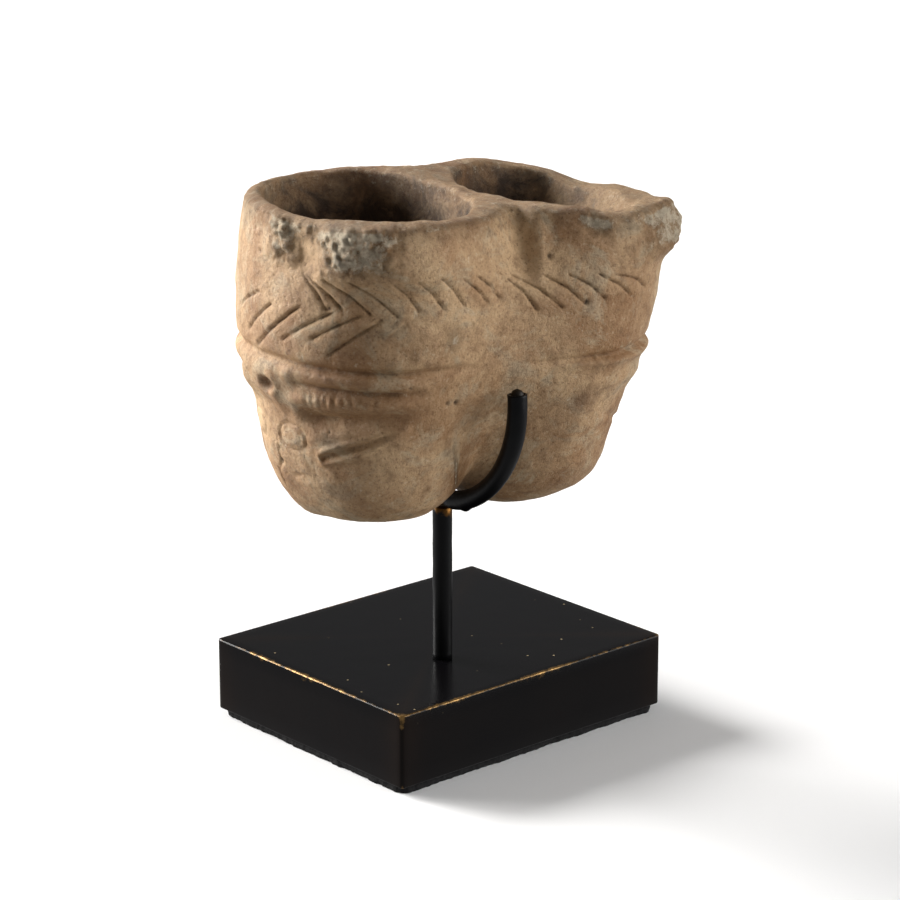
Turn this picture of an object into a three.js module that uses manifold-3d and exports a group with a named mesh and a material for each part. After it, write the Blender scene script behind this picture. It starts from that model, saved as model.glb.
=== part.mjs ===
// Double kohl jar carved from one stone, held by a bent rod cradle on a post in a metal block.
// Millimetres, +Z up, origin at the centre of the felt's underside, +X along the block.
import * as THREE from 'three';
import { mergeVertices } from 'three/addons/utils/BufferGeometryUtils.js';
import Module from 'manifold-3d';

const wasm = await Module();
wasm.setup();

// Driving dimensions of the mount
const FELT = { length: 59.4, depth: 49.4, height: 1.3, corner: 2 };
const BLOCK = { length: 60, depth: 50, height: 13, corner: 0.8, bevel: 0.35 };
const POST = { radius: 1.7, x: -6.455, y: -8.28, top: 41.9 };
const ROD = { radius: 1.1, sides: 10 };
const BEAD = [[42.2, 1.75], [42.7, 1.6], [43.2, 1.0]];
const SLEEVE = { bore: 1.26, radius: 1.65, start: 2.6, tip: 0.9 };
// Half of the cradle's bend, from the post outwards: [reach, height]
const ARM = [[0, 43.3], [4.2, 44.0], [8.5, 45.3], [13, 47.6], [17.5, 51.0], [21.2, 55.2], [23.7, 60.0],
  [24.6, 64.5], [24.5, 68.6]];

// Driving dimensions of the jar, in its own frame: +X along both wells, -Y to the carved front
const JAR = { x: POST.x, y: POST.y, bottom: 41.7, turn: -11.5, lean: 1.86, height: 55, fan: 20 };
// Each lobe is an ellipse in plan whose axis leans from bottom to rim; inner is the half towards the cleft.
const STATIONS = [0, 1.2, 3, 6.5, 11, 16.5, 21, 26, 32, 39, 48, 57];
const LEFT = {
  side: 1, bottom: -14.8, rim: -15.2, outer: 22, innerBottom: 23, innerRim: 24.5, depth: 25.5,
  share: [0, 0.28, 0.5, 0.647, 0.735, 0.795, 0.835, 0.9, 0.958, 0.976, 0.948, 0.88],
};
const RIGHT = {
  side: -1, bottom: 11, rim: 17.6, outer: 20.5, innerBottom: 22, innerRim: 17, depth: 24.5,
  share: [0, 0.25, 0.42, 0.59, 0.73, 0.814, 0.87, 0.94, 0.979, 1.005, 0.997, 0.945],
};
const WELL_LEFT = { x: -16.1, y: 0, a: 16.3, b: 20.4, footX: -14.6, floor: 11 };
const WELL_RIGHT = { x: 18.6, y: -0.5, a: 14.7, b: 19.4, footX: 13.4, floor: 12 };
// The path round the outside: straight between the two ends, an arc of these radii round each
const PATH = { left: -15, right: 16, radiusLeft: 20, radiusRight: 19 };

const lerp = (a, b, t) => a + (b - a) * t;
const clamp = (x, lo, hi) => Math.min(hi, Math.max(lo, x));
const radians = (degrees) => degrees * Math.PI / 180;

// 0 before a, 1 after b, eased between
function ease(a, b, x) {
  const t = clamp((x - a) / (b - a), 0, 1);
  return t * t * (3 - 2 * t);
}

// 1 at the centre, 0 a little past the half width
function hump(x, centre, half) {
  return Math.exp(-(((x - centre) / half) ** 2));
}

// Smooth curve through (xs, ys), flat where the slope changes sign
function through(xs, ys, x) {
  const slope = xs.slice(1).map((next, i) => (ys[i + 1] - ys[i]) / (next - xs[i]));
  const tangent = ys.map((_, i) => {
    if (i === 0) return slope[0] * 1.5;
    if (i === ys.length - 1) return slope[i - 1];
    const product = slope[i - 1] * slope[i];
    return product > 0 ? 2 * product / (slope[i - 1] + slope[i]) : 0;
  });
  let i = 0;
  while (i < xs.length - 2 && x > xs[i + 1]) i += 1;
  const h = xs[i + 1] - xs[i];
  const t = (x - xs[i]) / h;
  return (2 * t ** 3 - 3 * t ** 2 + 1) * ys[i] + (t ** 3 - 2 * t ** 2 + t) * h * tangent[i]
    + (-2 * t ** 3 + 3 * t ** 2) * ys[i + 1] + (t ** 3 - t ** 2) * h * tangent[i + 1];
}

const STATION_TOP = STATIONS[STATIONS.length - 1];

// Distance-like value of one lobe: negative inside
function lobeField(lobe, x, y, z) {
  const t = clamp(z / STATION_TOP, 0, 1);
  const dx = x - lerp(lobe.bottom, lobe.rim, t);
  const a = dx * lobe.side > 0 ? lerp(lobe.innerBottom, lobe.innerRim, t) : lobe.outer;
  const share = through(STATIONS, lobe.share, clamp(z, 0, STATION_TOP)) - 0.5 * Math.max(0, -z);
  return (Math.hypot(dx / a, y / lobe.depth) - share) * 0.5 * (lobe.outer + lobe.depth);
}

// Both lobes melted into each other, tightly in the cleft below and widely at mid-height
function jarField(x, y, z) {
  const left = lobeField(LEFT, x, y, z);
  const right = lobeField(RIGHT, x, y, z);
  const melt = 3 + 13 * ease(4, 30, z) - 6 * ease(40, 57, z);
  const h = clamp(0.5 + 0.5 * (right - left) / melt, 0, 1);
  return lerp(right, left, h) - melt * h * (1 - h);
}

const ARC_LEFT = Math.PI * PATH.radiusLeft;
const ARC_RIGHT = Math.PI * PATH.radiusRight;
const SPAN = PATH.right - PATH.left;
const PATH_START = PATH.left - ARC_LEFT;
const PATH_LENGTH = ARC_LEFT + ARC_RIGHT + 2 * SPAN;
const LEFT_TIP = PATH.left - ARC_LEFT / 2;
const RIGHT_TIP = PATH.right + ARC_RIGHT / 2;

// s runs round the jar: 0 at the middle of the front, negative to the left, mirrored on the back
const behind = (s) => 2 * RIGHT_TIP - s;

// Where the ray for s starts along the jar, and its direction in plan
function column(s) {
  const u = ((s - PATH_START) % PATH_LENGTH + PATH_LENGTH) % PATH_LENGTH + PATH_START;
  if (u < PATH.left) {
    const angle = (PATH.left - u) / PATH.radiusLeft;
    return { x: PATH.left, dx: -Math.sin(angle), dy: -Math.cos(angle) };
  }
  if (u <= PATH.right) return { x: u, dx: 0, dy: -1 };
  if (u < PATH.right + ARC_RIGHT) {
    const angle = (u - PATH.right) / PATH.radiusRight;
    return { x: PATH.right, dx: Math.sin(angle), dy: -Math.cos(angle) };
  }
  return { x: PATH.right - (u - PATH.right - ARC_RIGHT), dx: 0, dy: 1 };
}

// The ray's start leans with the lobes' axes
function spineX(x, z) {
  const t = clamp(z / STATION_TOP, 0, 1);
  return lerp(lerp(LEFT.bottom, LEFT.rim, t), lerp(RIGHT.bottom, RIGHT.rim, t), (x - PATH.left) / SPAN);
}

// Point of the plain form at (s, q): q is the height over the fan, and below it the swing underneath
function surface(s, q, raised = 0) {
  const ray = column(s);
  const z = JAR.fan + Math.max(0, q);
  const swing = Math.max(0, -q) / JAR.fan;
  const start = new THREE.Vector3(spineX(ray.x, z), 0, z);
  const cos = Math.cos(swing);
  const way = new THREE.Vector3(ray.dx * cos, ray.dy * cos, -Math.sin(swing));
  let low = 0;
  let high = 45;
  for (let i = 0; i < 34; i += 1) {
    const middle = (low + high) / 2;
    const p = start.clone().addScaledVector(way, middle);
    if (jarField(p.x, p.y, p.z) < 0) low = middle;
    else high = middle;
  }
  return start.addScaledVector(way, low + raised);
}

// Horns of a head at one end: two flat bands between grooves, t counted from the head's middle line
function horns(t, q, strength) {
  const along = ease(5, 9, t) * (1 - ease(24, 33, t));
  const bands = 0.75 * hump(q, 9.2, 1.4) + 0.7 * hump(q, 5.2 + 0.05 * (t - 20), 1.2);
  const grooves = 0.6 * hump(q, 10.9, 0.8) * ease(-2, 4, t) * (1 - ease(30, 42, t));
  const under = 0.5 * hump(q, 1.6, 1.5) * ease(8, 12, t) * (1 - ease(20, 28, t));
  return strength * (along * bands - grooves - under);
}

// Muzzle ridge and brow of a head
function face(t, q) {
  return 0.5 * hump(t, 0, 5) * (1 - ease(-6, 0, q)) + 0.5 * hump(t, 4.4, 1.3) * hump(q, 5.4, 2.6);
}

// Worn lug under the rim
function lug(s, q, place) {
  const across = Math.abs((s - place.s) / place.half) ** 4;
  const up = Math.abs((q - place.q) / place.rise) ** 4;
  return place.proud * Math.exp(-across - up);
}

const LUGS = [
  { s: -23, half: 10, q: 31, rise: 5.6, proud: 2.4 },
  { s: 33, half: 9, q: 30.5, rise: 5.2, proud: 2.4 },
  { s: behind(-23), half: 9, q: 31, rise: 5, proud: 1.4 },
  { s: behind(33), half: 8, q: 29, rise: 5, proud: 1.4 },
];

// Forehead of the left head, between the horns
const BROW = { s: LEFT_TIP, half: 7, q: 6.6, rise: 3.4, proud: 0.9 };

// Height of the carving and wear over the plain form
function relief(s, q) {
  const fromLeft = Math.abs(s - LEFT_TIP);
  const fromRight = Math.abs(s - RIGHT_TIP);
  let height = horns(fromLeft, q, 1) + face(fromLeft, q) + horns(fromRight, q, 0.5);
  for (const place of [...LUGS, BROW]) height += lug(s, q, place);
  height += 1.6 * hump(s, 28, 11) * hump(q, -15, 6.5);
  height -= 0.7 * hump(s, -33.5, 2) * ease(25, 30, q);
  height -= 1.1 * hump(s, 1.8, 2.2) * ease(22, 30, q);
  height += 0.5 * hump(s, 4.7, 1.2) * ease(22, 30, q);
  return height;
}

// Rim height over the plan: broken lower round the right end, nicked in front, a little higher behind
function rimHeight(x, y) {
  const angle = Math.atan2(x - 10, -y) / Math.PI * 180;
  const broken = 2.4 * ease(45, 80, angle) * (1 - ease(110, 165, angle)) + 0.6 * hump(angle, 38, 6);
  const nick = 1.5 * hump(angle, 22, 10) + 0.6 * hump(x, -32, 3) * ease(0, 10, -y);
  const raised = 1.0 * hump(x, -2, 12) * ease(5, 18, y) + 0.8 * hump(x, 3, 4.5) * ease(12, 20, y);
  return JAR.height - broken - nick + raised;
}

// Closed mesh from position triples and triangle indices, with shared corners made one
function toSolid(points, triangles) {
  const geometry = new THREE.BufferGeometry();
  const flat = points.flatMap((p) => [p.x, p.y, p.z]);
  geometry.setAttribute('position', new THREE.Float32BufferAttribute(flat, 3));
  geometry.setIndex(triangles);
  const merged = mergeVertices(geometry, 1e-4);
  const kept = [];
  for (let i = 0; i < merged.index.count; i += 3) {
    const [a, b, c] = [0, 1, 2].map((k) => merged.index.getX(i + k));
    if (a !== b && b !== c && c !== a) kept.push(a, b, c);
  }
  const vertProperties = new Float32Array(merged.attributes.position.array);
  return new wasm.Manifold(new wasm.Mesh({ numProp: 3, vertProperties, triVerts: new Uint32Array(kept) }));
}

// Solid between loops of equal length, listed from one end to the other; each end closes on its middle
function loopsToSolid(loops, closed = false) {
  const size = loops[0].length;
  const points = loops.flat();
  const triangles = [];
  const last = closed ? loops.length : loops.length - 1;
  for (let r = 0; r < last; r += 1) {
    const next = (r + 1) % loops.length;
    for (let c = 0; c < size; c += 1) {
      const d = (c + 1) % size;
      const [a, b] = [r * size + c, r * size + d];
      const [e, f] = [next * size + c, next * size + d];
      triangles.push(a, e, f, a, f, b);
    }
  }
  if (!closed) {
    for (const end of [0, loops.length - 1]) {
      const middle = new THREE.Vector3();
      for (const p of loops[end]) middle.addScaledVector(p, 1 / size);
      points.push(middle);
      for (let c = 0; c < size; c += 1) {
        const [a, b] = [end * size + c, end * size + (c + 1) % size];
        if (end === 0) triangles.push(points.length - 1, a, b);
        else triangles.push(points.length - 1, b, a);
      }
    }
  }
  return toSolid(points, triangles);
}

function toGeometry(solid) {
  const mesh = solid.getMesh();
  const geometry = new THREE.BufferGeometry();
  geometry.setAttribute('position', new THREE.Float32BufferAttribute(mesh.vertProperties, 3));
  geometry.setIndex([...mesh.triVerts]);
  return geometry;
}

// Even steps along each stretch of the path, so that front and back columns face each other
function columnStations() {
  const stretches = [[PATH_START, ARC_LEFT, 24], [PATH.left, SPAN, 9], [PATH.right, ARC_RIGHT, 21],
    [PATH.right + ARC_RIGHT, SPAN, 9]];
  return stretches.flatMap(([start, length, count]) => Array.from({ length: count },
    (_, i) => start + length * i / count));
}

// Heights of the rows, closer together over the horned head
function rowStations() {
  const rows = [];
  for (let q = 35; q > 12.5; q -= 2.5) rows.push(q);
  for (let q = 12; q > -1.5; q -= 1.35) rows.push(q);
  const low = rows[rows.length - 1];
  for (let i = 1; i <= 11; i += 1) rows.push(lerp(low, -JAR.fan * Math.PI / 2, i / 11));
  return rows;
}

// The outside of the vessel, closed by a lid that follows the rim
function outerSolid() {
  const stations = columnStations();
  const rims = stations.map((s) => {
    const p = surface(s, JAR.height - JAR.fan);
    return rimHeight(p.x, p.y) - JAR.fan;
  });
  const lid = stations.map((s) => {
    const x = spineX(column(s).x, JAR.height);
    return new THREE.Vector3(x, 0, rimHeight(x, 0));
  });
  const loops = rowStations().map((row) => stations.map((s, i) => {
    const q = row > 22 ? lerp(22, rims[i], (row - 22) / 13) : row;
    return surface(s, q, relief(s, row) * (1 - ease(20, 31, -q)));
  }));
  return loopsToSolid([lid, ...loops]);
}

// One well: an oval that narrows downwards to a rounded floor
function wellSolid(well) {
  const levels = [[-0.15, 1.02], [0, 1], [0.2, 0.945], [0.5, 0.85], [0.68, 0.77], [0.84, 0.65],
    [0.94, 0.48], [0.985, 0.28], [1, 0.1]];
  const loops = levels.map(([down, share]) => Array.from({ length: 26 }, (_, i) => {
    const angle = i / 26 * Math.PI * 2;
    const x = lerp(well.x, well.footX, clamp(down, 0, 1)) + well.a * share * Math.cos(angle);
    const y = well.y * (1 - down) + well.b * share * Math.sin(angle);
    return new THREE.Vector3(x, y, lerp(JAR.height, well.floor, down));
  }));
  return loopsToSolid(loops);
}

// Outward direction of the carved surface
function outward(s, q) {
  const across = surface(s + 0.3, q, relief(s + 0.3, q)).sub(surface(s - 0.3, q, relief(s - 0.3, q)));
  const up = surface(s, q + 0.3, relief(s, q + 0.3)).sub(surface(s, q - 0.3, relief(s, q - 0.3)));
  return across.cross(up).normalize();
}

// V cut along a line of [s, q] places, shallow at both ends
function groove(line, half, depth, closed = false) {
  const places = line.map(([s, q]) => surface(s, q, relief(s, q)));
  const count = places.length;
  const loops = places.map((p, i) => {
    const before = places[closed ? (i + count - 1) % count : Math.max(0, i - 1)];
    const after = places[closed ? (i + 1) % count : Math.min(count - 1, i + 1)];
    const normal = outward(...line[i]);
    const side = after.clone().sub(before).normalize().cross(normal).normalize();
    const end = !closed && (i === 0 || i === count - 1) ? 0.45 : 1;
    const lip = p.clone().addScaledVector(normal, 0.35);
    return [
      lip.clone().addScaledVector(side, half * end),
      lip.clone().addScaledVector(side, -half * end),
      p.clone().addScaledVector(normal, -depth * end),
    ];
  });
  return loopsToSolid(loops, closed);
}

// Straight run of places between two [s, q] ends
function run(from, to, steps) {
  return Array.from({ length: steps + 1 }, (_, i) => [0, 1].map((k) => lerp(from[k], to[k], i / steps)));
}

// Herringbone: upper strokes fall to the right, lower strokes rise to meet them, spaced unevenly as cut
const BONE = { top: 26.3, spine: 20.8 };
const UPPER = [[-35.2, 4.1], [-34.6, 5.9], [-31.3, 6.4], [-27.7, 6.4], [-21.9, 3.4], [-18.9, 4], [-15.9, 4.8],
  [-11.4, 5.5], [-8, 4.6], [-1.4, 5.2], [2, 6], [5, 7.1], [9, 6.7], [14, 6.4], [17.6, 5.5]];
const LOWER = [[-51.3, 6.4, 3.2], [-48.2, 6.7, 5.6], [-45.2, 9.7, 8.2], [-38.8, 8.8, 6], [-33.3, 7.2, 5],
  [-30.5, 7.2, 6.5], [-22.3, 3.6, 3.6], [-12.3, 3.2, 4.6]];

function herringbone() {
  const cuts = [];
  for (const [s, length] of UPPER) {
    cuts.push(groove(run([s, BONE.top], [s + length, BONE.spine], 2), 0.42, 0.5));
  }
  for (const [s, length, drop] of LOWER) {
    cuts.push(groove(run([s, BONE.spine - drop], [s + length, BONE.spine], 2), 0.42, 0.5));
  }
  // The back carries a plainer, wider spaced row
  for (let s = -36; s < 34; s += 10) {
    cuts.push(groove(run([behind(s), BONE.top], [behind(s + 6), BONE.spine], 2), 0.42, 0.45));
  }
  return cuts;
}

// The cuts of one head, t and q counted from its middle line; toward is where t is laid on the path
function headCuts(toward, plain) {
  const line = (points) => points.map(([t, q]) => [toward(t), q]);
  const eye = Array.from({ length: 12 }, (_, i) => {
    const angle = i / 12 * Math.PI * 2;
    return [6.2 + 3.6 * Math.cos(angle), -2.9 + 2.6 * Math.sin(angle)];
  });
  const cuts = [groove(line(eye), 0.4, 0.45, true)];
  cuts.push(groove(line(run([14, -4.8], [25, -0.4], 4)), 0.95, 0.75));
  if (plain) return cuts;
  cuts.push(groove(line(run([9.5, 7.3], [28.5, 7.4], 7)), 0.5, 0.6));
  cuts.push(groove(line([[5.1, -10.7], [6.8, -10.5], [8.2, -10.1]]), 0.35, 0.45));
  return cuts;
}

// Nose line and the drilled forehead hole of the left head
function noseCuts() {
  const nose = groove([[-44.6, -6.2], [-44.6, -8.6], [-45.9, -10.6], [-45.8, -14]], 0.5, 0.6);
  const hole = new THREE.IcosahedronGeometry(1.25, 1);
  hole.deleteAttribute('normal');
  hole.deleteAttribute('uv');
  const centre = surface(-44.3, 6.7, relief(-44.3, 6.7) - 0.5);
  hole.translate(centre.x, centre.y, centre.z);
  const merged = mergeVertices(hole, 1e-4);
  const points = Array.from({ length: merged.attributes.position.count },
    (_, i) => new THREE.Vector3().fromBufferAttribute(merged.attributes.position, i));
  return [nose, toSolid(points, [...merged.index.array])];
}

function makeJar() {
  let jar = outerSolid();
  jar = jar.subtract(wellSolid(WELL_LEFT)).subtract(wellSolid(WELL_RIGHT));
  const cuts = [
    ...herringbone(),
    ...headCuts((t) => LEFT_TIP + t, false),
    ...headCuts((t) => LEFT_TIP - t, true),
    ...headCuts((t) => RIGHT_TIP - t, true),
    ...noseCuts(),
  ];
  for (const cut of cuts) jar = jar.subtract(cut);
  return toGeometry(jar);
}

// Rectangle in plan with rounded corners
function plate(length, depth, corner) {
  const [x, y] = [length / 2 - corner, depth / 2 - corner];
  const shape = new THREE.Shape();
  shape.absarc(x, y, corner, 0, Math.PI / 2);
  shape.absarc(-x, y, corner, Math.PI / 2, Math.PI);
  shape.absarc(-x, -y, corner, Math.PI, Math.PI * 1.5);
  shape.absarc(x, -y, corner, Math.PI * 1.5, Math.PI * 2);
  return shape;
}

function makeFelt() {
  const shape = plate(FELT.length, FELT.depth, FELT.corner);
  return new THREE.ExtrudeGeometry(shape, { depth: FELT.height, bevelEnabled: false, curveSegments: 4 });
}

function makeBlock() {
  const inner = BLOCK.bevel * 2;
  const shape = plate(BLOCK.length - inner, BLOCK.depth - inner, BLOCK.corner);
  const geometry = new THREE.ExtrudeGeometry(shape, {
    depth: BLOCK.height - inner, bevelThickness: BLOCK.bevel, bevelSize: BLOCK.bevel, bevelSegments: 2,
    curveSegments: 3,
  });
  return geometry.translate(0, 0, FELT.height + BLOCK.bevel);
}

function makePost() {
  const bottom = FELT.height + BLOCK.height;
  const geometry = new THREE.CylinderGeometry(POST.radius, POST.radius, POST.top - bottom, 28);
  return geometry.rotateX(Math.PI / 2).translate(0, 0, (POST.top + bottom) / 2);
}

// The bend as a curve in the cradle's own upright plane, front arm first
function armCurve() {
  const half = ARM.map(([reach, height]) => new THREE.Vector3(0, -reach, height));
  const other = ARM.slice(1).map(([reach, height]) => new THREE.Vector3(0, reach, height));
  return new THREE.CatmullRomCurve3([...half.reverse(), ...other], false, 'centripetal');
}

// Rings of a tube along the curve between two shares of its length
function tubeLoops(curve, from, to, steps, radius) {
  return Array.from({ length: steps + 1 }, (_, i) => {
    const u = lerp(from, to, i / steps);
    const centre = curve.getPointAt(u);
    const tangent = curve.getTangentAt(u);
    const side = new THREE.Vector3(1, 0, 0);
    const up = new THREE.Vector3().crossVectors(tangent, side);
    return Array.from({ length: ROD.sides }, (_, k) => {
      const angle = k / ROD.sides * Math.PI * 2;
      const across = side.clone().multiplyScalar(radius * Math.cos(angle));
      return centre.clone().add(across).addScaledVector(up, radius * Math.sin(angle));
    });
  });
}

// The bent rod with the bead of braze that joins it to the post
function makeCradle(curve) {
  const rod = loopsToSolid(tubeLoops(curve, 0, 1, 26, ROD.radius).reverse());
  const bead = BEAD.map(([z, radius]) => Array.from({ length: 12 }, (_, k) => {
    const angle = k / 12 * Math.PI * 2;
    return new THREE.Vector3(radius * Math.cos(angle), radius * Math.sin(angle), z);
  }));
  return toGeometry(rod.add(loopsToSolid(bead.reverse())));
}

// Tube open at both ends over one arm, from near the post to just short of the rod's tip
function makeSleeve(curve, from, to) {
  const outer = tubeLoops(curve, from, to, 12, SLEEVE.radius);
  const bore = tubeLoops(curve, from, to, 12, SLEEVE.bore).reverse();
  return toGeometry(loopsToSolid([...outer, ...bore].reverse(), true));
}

function material(color, roughness, metalness) {
  return new THREE.MeshStandardMaterial({ color, roughness, metalness });
}

function addMesh(group, name, geometry, look) {
  const mesh = new THREE.Mesh(geometry, look);
  mesh.name = name;
  group.add(mesh);
}

const stone = material(0xb39c7f, 0.85, 0);
const patina = material(0x222224, 0.35, 0.6);
const lacquer = material(0x17181a, 0.5, 0.2);
const braze = material(0x3a2c18, 0.5, 0.6);
const shrink = material(0x0c0d0e, 0.45, 0);
const felt = material(0x121212, 1, 0);

const object = new THREE.Group();
addMesh(object, 'felt_pad', makeFelt(), felt);
addMesh(object, 'base_block', makeBlock(), patina);

const stand = new THREE.Group();
stand.position.set(POST.x, POST.y, 0);
stand.rotation.z = radians(JAR.turn);
addMesh(stand, 'post', makePost(), lacquer);
const curve = armCurve();
const length = curve.getLength();
const [startShare, tipShare] = [0.5 - SLEEVE.start / length, SLEEVE.tip / length];
addMesh(stand, 'cradle', makeCradle(curve), braze);
addMesh(stand, 'sleeve_front', makeSleeve(curve, tipShare, startShare), shrink);
addMesh(stand, 'sleeve_back', makeSleeve(curve, 1 - startShare, 1 - tipShare), shrink);
object.add(stand);

const vessel = new THREE.Group();
vessel.position.set(JAR.x, JAR.y, JAR.bottom);
vessel.rotation.set(0, radians(JAR.lean), radians(JAR.turn), 'ZYX');
addMesh(vessel, 'jar', makeJar(), stone);
object.add(vessel);

export default object;
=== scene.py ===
import bpy
import numpy as np
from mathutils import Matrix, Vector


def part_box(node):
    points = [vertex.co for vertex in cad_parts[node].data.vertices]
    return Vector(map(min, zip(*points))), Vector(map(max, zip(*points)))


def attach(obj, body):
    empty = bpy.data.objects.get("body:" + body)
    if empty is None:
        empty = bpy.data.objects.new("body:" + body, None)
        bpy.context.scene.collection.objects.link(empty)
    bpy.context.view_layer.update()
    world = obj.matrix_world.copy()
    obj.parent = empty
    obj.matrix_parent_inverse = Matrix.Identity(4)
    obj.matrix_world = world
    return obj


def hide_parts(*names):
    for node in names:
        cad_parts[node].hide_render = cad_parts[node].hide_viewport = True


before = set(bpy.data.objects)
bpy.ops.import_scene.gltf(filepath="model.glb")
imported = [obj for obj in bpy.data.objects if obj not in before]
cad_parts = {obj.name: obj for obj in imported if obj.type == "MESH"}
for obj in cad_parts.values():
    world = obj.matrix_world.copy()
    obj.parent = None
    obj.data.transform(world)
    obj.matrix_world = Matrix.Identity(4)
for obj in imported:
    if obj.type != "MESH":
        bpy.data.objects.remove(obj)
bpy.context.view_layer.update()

# The camera stands at the left front corner, a little above the jar, with a long lens.
# Its place was worked out from the block's corners, in metres from the middle of the felt's underside.
CAMERA_PLACE = (-0.35302, -0.40487, 0.21145)
CAMERA_AZIMUTH = np.radians(-41.29)
CAMERA_HEIGHT = np.radians(16.87)
camera_data = bpy.data.cameras.new("camera")
camera_data.lens = 129.76
camera_data.sensor_width = 36.0
camera_data.dof.use_dof = False
camera = bpy.data.objects.new("camera", camera_data)
camera.location = CAMERA_PLACE
camera.rotation_euler = (np.pi / 2 - CAMERA_HEIGHT, 0.0, CAMERA_AZIMUTH)
bpy.context.scene.collection.objects.link(camera)
bpy.context.scene.camera = camera
# A plain tone curve, as in the photograph: the floor goes to white and the blacks stay black
bpy.context.scene.view_settings.view_transform = "Standard"

# Studio light: two soft lamps from the left behind the jar, one of them low down, a wide weaker fill from
# the right front, and a dim white surround. The lamps are far away, so that the floor is lit evenly.


def add_lamp(name, azimuth, height, softness, strength, colour=(1.0, 1.0, 1.0)):
    """A far lamp that shines towards the jar from a direction given as for the camera; softness is its
    width in degrees."""
    data = bpy.data.lights.new(name, "SUN")
    data.angle = np.radians(softness)
    data.energy = strength
    data.color = colour
    light = bpy.data.objects.new(name, data)
    light.rotation_euler = (np.pi / 2 - np.radians(height), 0.0, np.radians(azimuth))
    bpy.context.scene.collection.objects.link(light)


WARM_WHITE = (1.0, 0.99, 0.975)
add_lamp("key", azimuth=-164, height=26, softness=26, strength=5.2, colour=WARM_WHITE)
add_lamp("low key", azimuth=-145, height=11, softness=26, strength=4.0, colour=WARM_WHITE)
add_lamp("fill", azimuth=46, height=14, softness=50, strength=3.2)


def to_linear(code):
    """sRGB hex colour as linear red, green, blue and alpha: the usual two-part curve."""
    parts = np.array([int(code[i:i + 2], 16) for i in (1, 3, 5)]) / 255.0
    linear = np.where(parts <= 0.04045, parts / 12.92, ((parts + 0.055) / 1.055) ** 2.4)
    return (*(float(v) for v in linear), 1.0)


def add_node(tree, kind, inputs=None, **settings):
    """One shader node. Settings are its own options; each input is a plain value or a socket to link."""
    node = tree.nodes.new(kind)
    for name, value in settings.items():
        setattr(node, name, value)
    for name, value in (inputs or {}).items():
        if isinstance(value, bpy.types.NodeSocket):
            tree.links.new(value, node.inputs[name])
        else:
            node.inputs[name].default_value = value
    return node


def start_material(name):
    """A new material with its tree, its surface shader and object coordinates."""
    material = bpy.data.materials.new(name)
    material.use_nodes = True
    tree = material.node_tree
    shader = tree.nodes["Principled BSDF"]
    place = add_node(tree, "ShaderNodeTexCoord").outputs["Object"]
    return material, tree, shader, place


# The surround: dim above, brighter below, as light comes back from the table
world = bpy.data.worlds.new("studio")
world.use_nodes = True
sky = world.node_tree
direction = add_node(sky, "ShaderNodeTexCoord").outputs["Generated"]
upward = add_node(sky, "ShaderNodeSeparateXYZ", {0: direction}).outputs["Z"]
surround = add_node(sky, "ShaderNodeMapRange", {"Value": upward, "From Min": -0.5, "From Max": 0.1,
                                                "To Min": 0.55, "To Max": 0.2})
sky.nodes["Background"].inputs["Color"].default_value = (1.0, 1.0, 1.0, 1.0)
sky.links.new(surround.outputs[0], sky.nodes["Background"].inputs["Strength"])
bpy.context.scene.world = world


def add_mesh(name, points, faces, material, smooth=True):
    """A mesh object at the origin from an array of points in metres and an array of four-cornered faces.
    Corners that fall together are made one, and faces that lose their area go. Returns the piece and
    which points it kept."""
    keys = np.round(points / 1e-7).astype(np.int64)
    _, first, same = np.unique(keys, axis=0, return_index=True, return_inverse=True)
    order = np.argsort(first)
    rank = np.empty(len(order), int)
    rank[order] = np.arange(len(order))
    points = points[first[order]]
    corners = rank[same.reshape(-1)][faces]
    polygons = []
    for corner in corners.tolist():
        kept = [v for i, v in enumerate(corner) if v != corner[i - 1]]
        if len(kept) > 2:
            polygons.append(kept)
    mesh = bpy.data.meshes.new(name)
    mesh.from_pydata(points.tolist(), [], polygons)
    mesh.polygons.foreach_set("use_smooth", [smooth] * len(mesh.polygons))
    mesh.materials.append(material)
    piece = bpy.data.objects.new(name, mesh)
    bpy.context.scene.collection.objects.link(piece)
    return piece, first[order]


def grid_faces(rows, columns, closed=True, start=0):
    """Four-cornered faces of a grid stored row by row; closed joins the last column to the first."""
    r = np.arange(rows - 1)[:, None] * columns
    c = np.arange(columns if closed else columns - 1)[None, :]
    d = (c + 1) % columns
    quads = np.stack([r + c, r + columns + c, r + columns + d, r + d], axis=-1)
    return quads.reshape(-1, 4) + start


floor_material, tree, shader, place = start_material("pale floor")
shader.inputs["Base Color"].default_value = to_linear("#F4F4F4")
shader.inputs["Roughness"].default_value = 0.9
FLOOR_HALF = 3.0
floor_points = FLOOR_HALF * np.array([[-1, -1, 0], [1, -1, 0], [1, 1, 0], [-1, 1, 0]])
floor, _ = add_mesh("floor", floor_points, np.array([[0, 1, 2, 3]]), floor_material, smooth=False)
# The floor keeps its light to itself, as card under a cut-out picture: the stone is lit by the lamps alone
floor.visible_diffuse = False
floor.visible_glossy = False

# The felt pad under the block: thin black felt, cut almost as large as the block with a knife,
# so that its corners are rounded and its edge is fuzzy.


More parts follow.
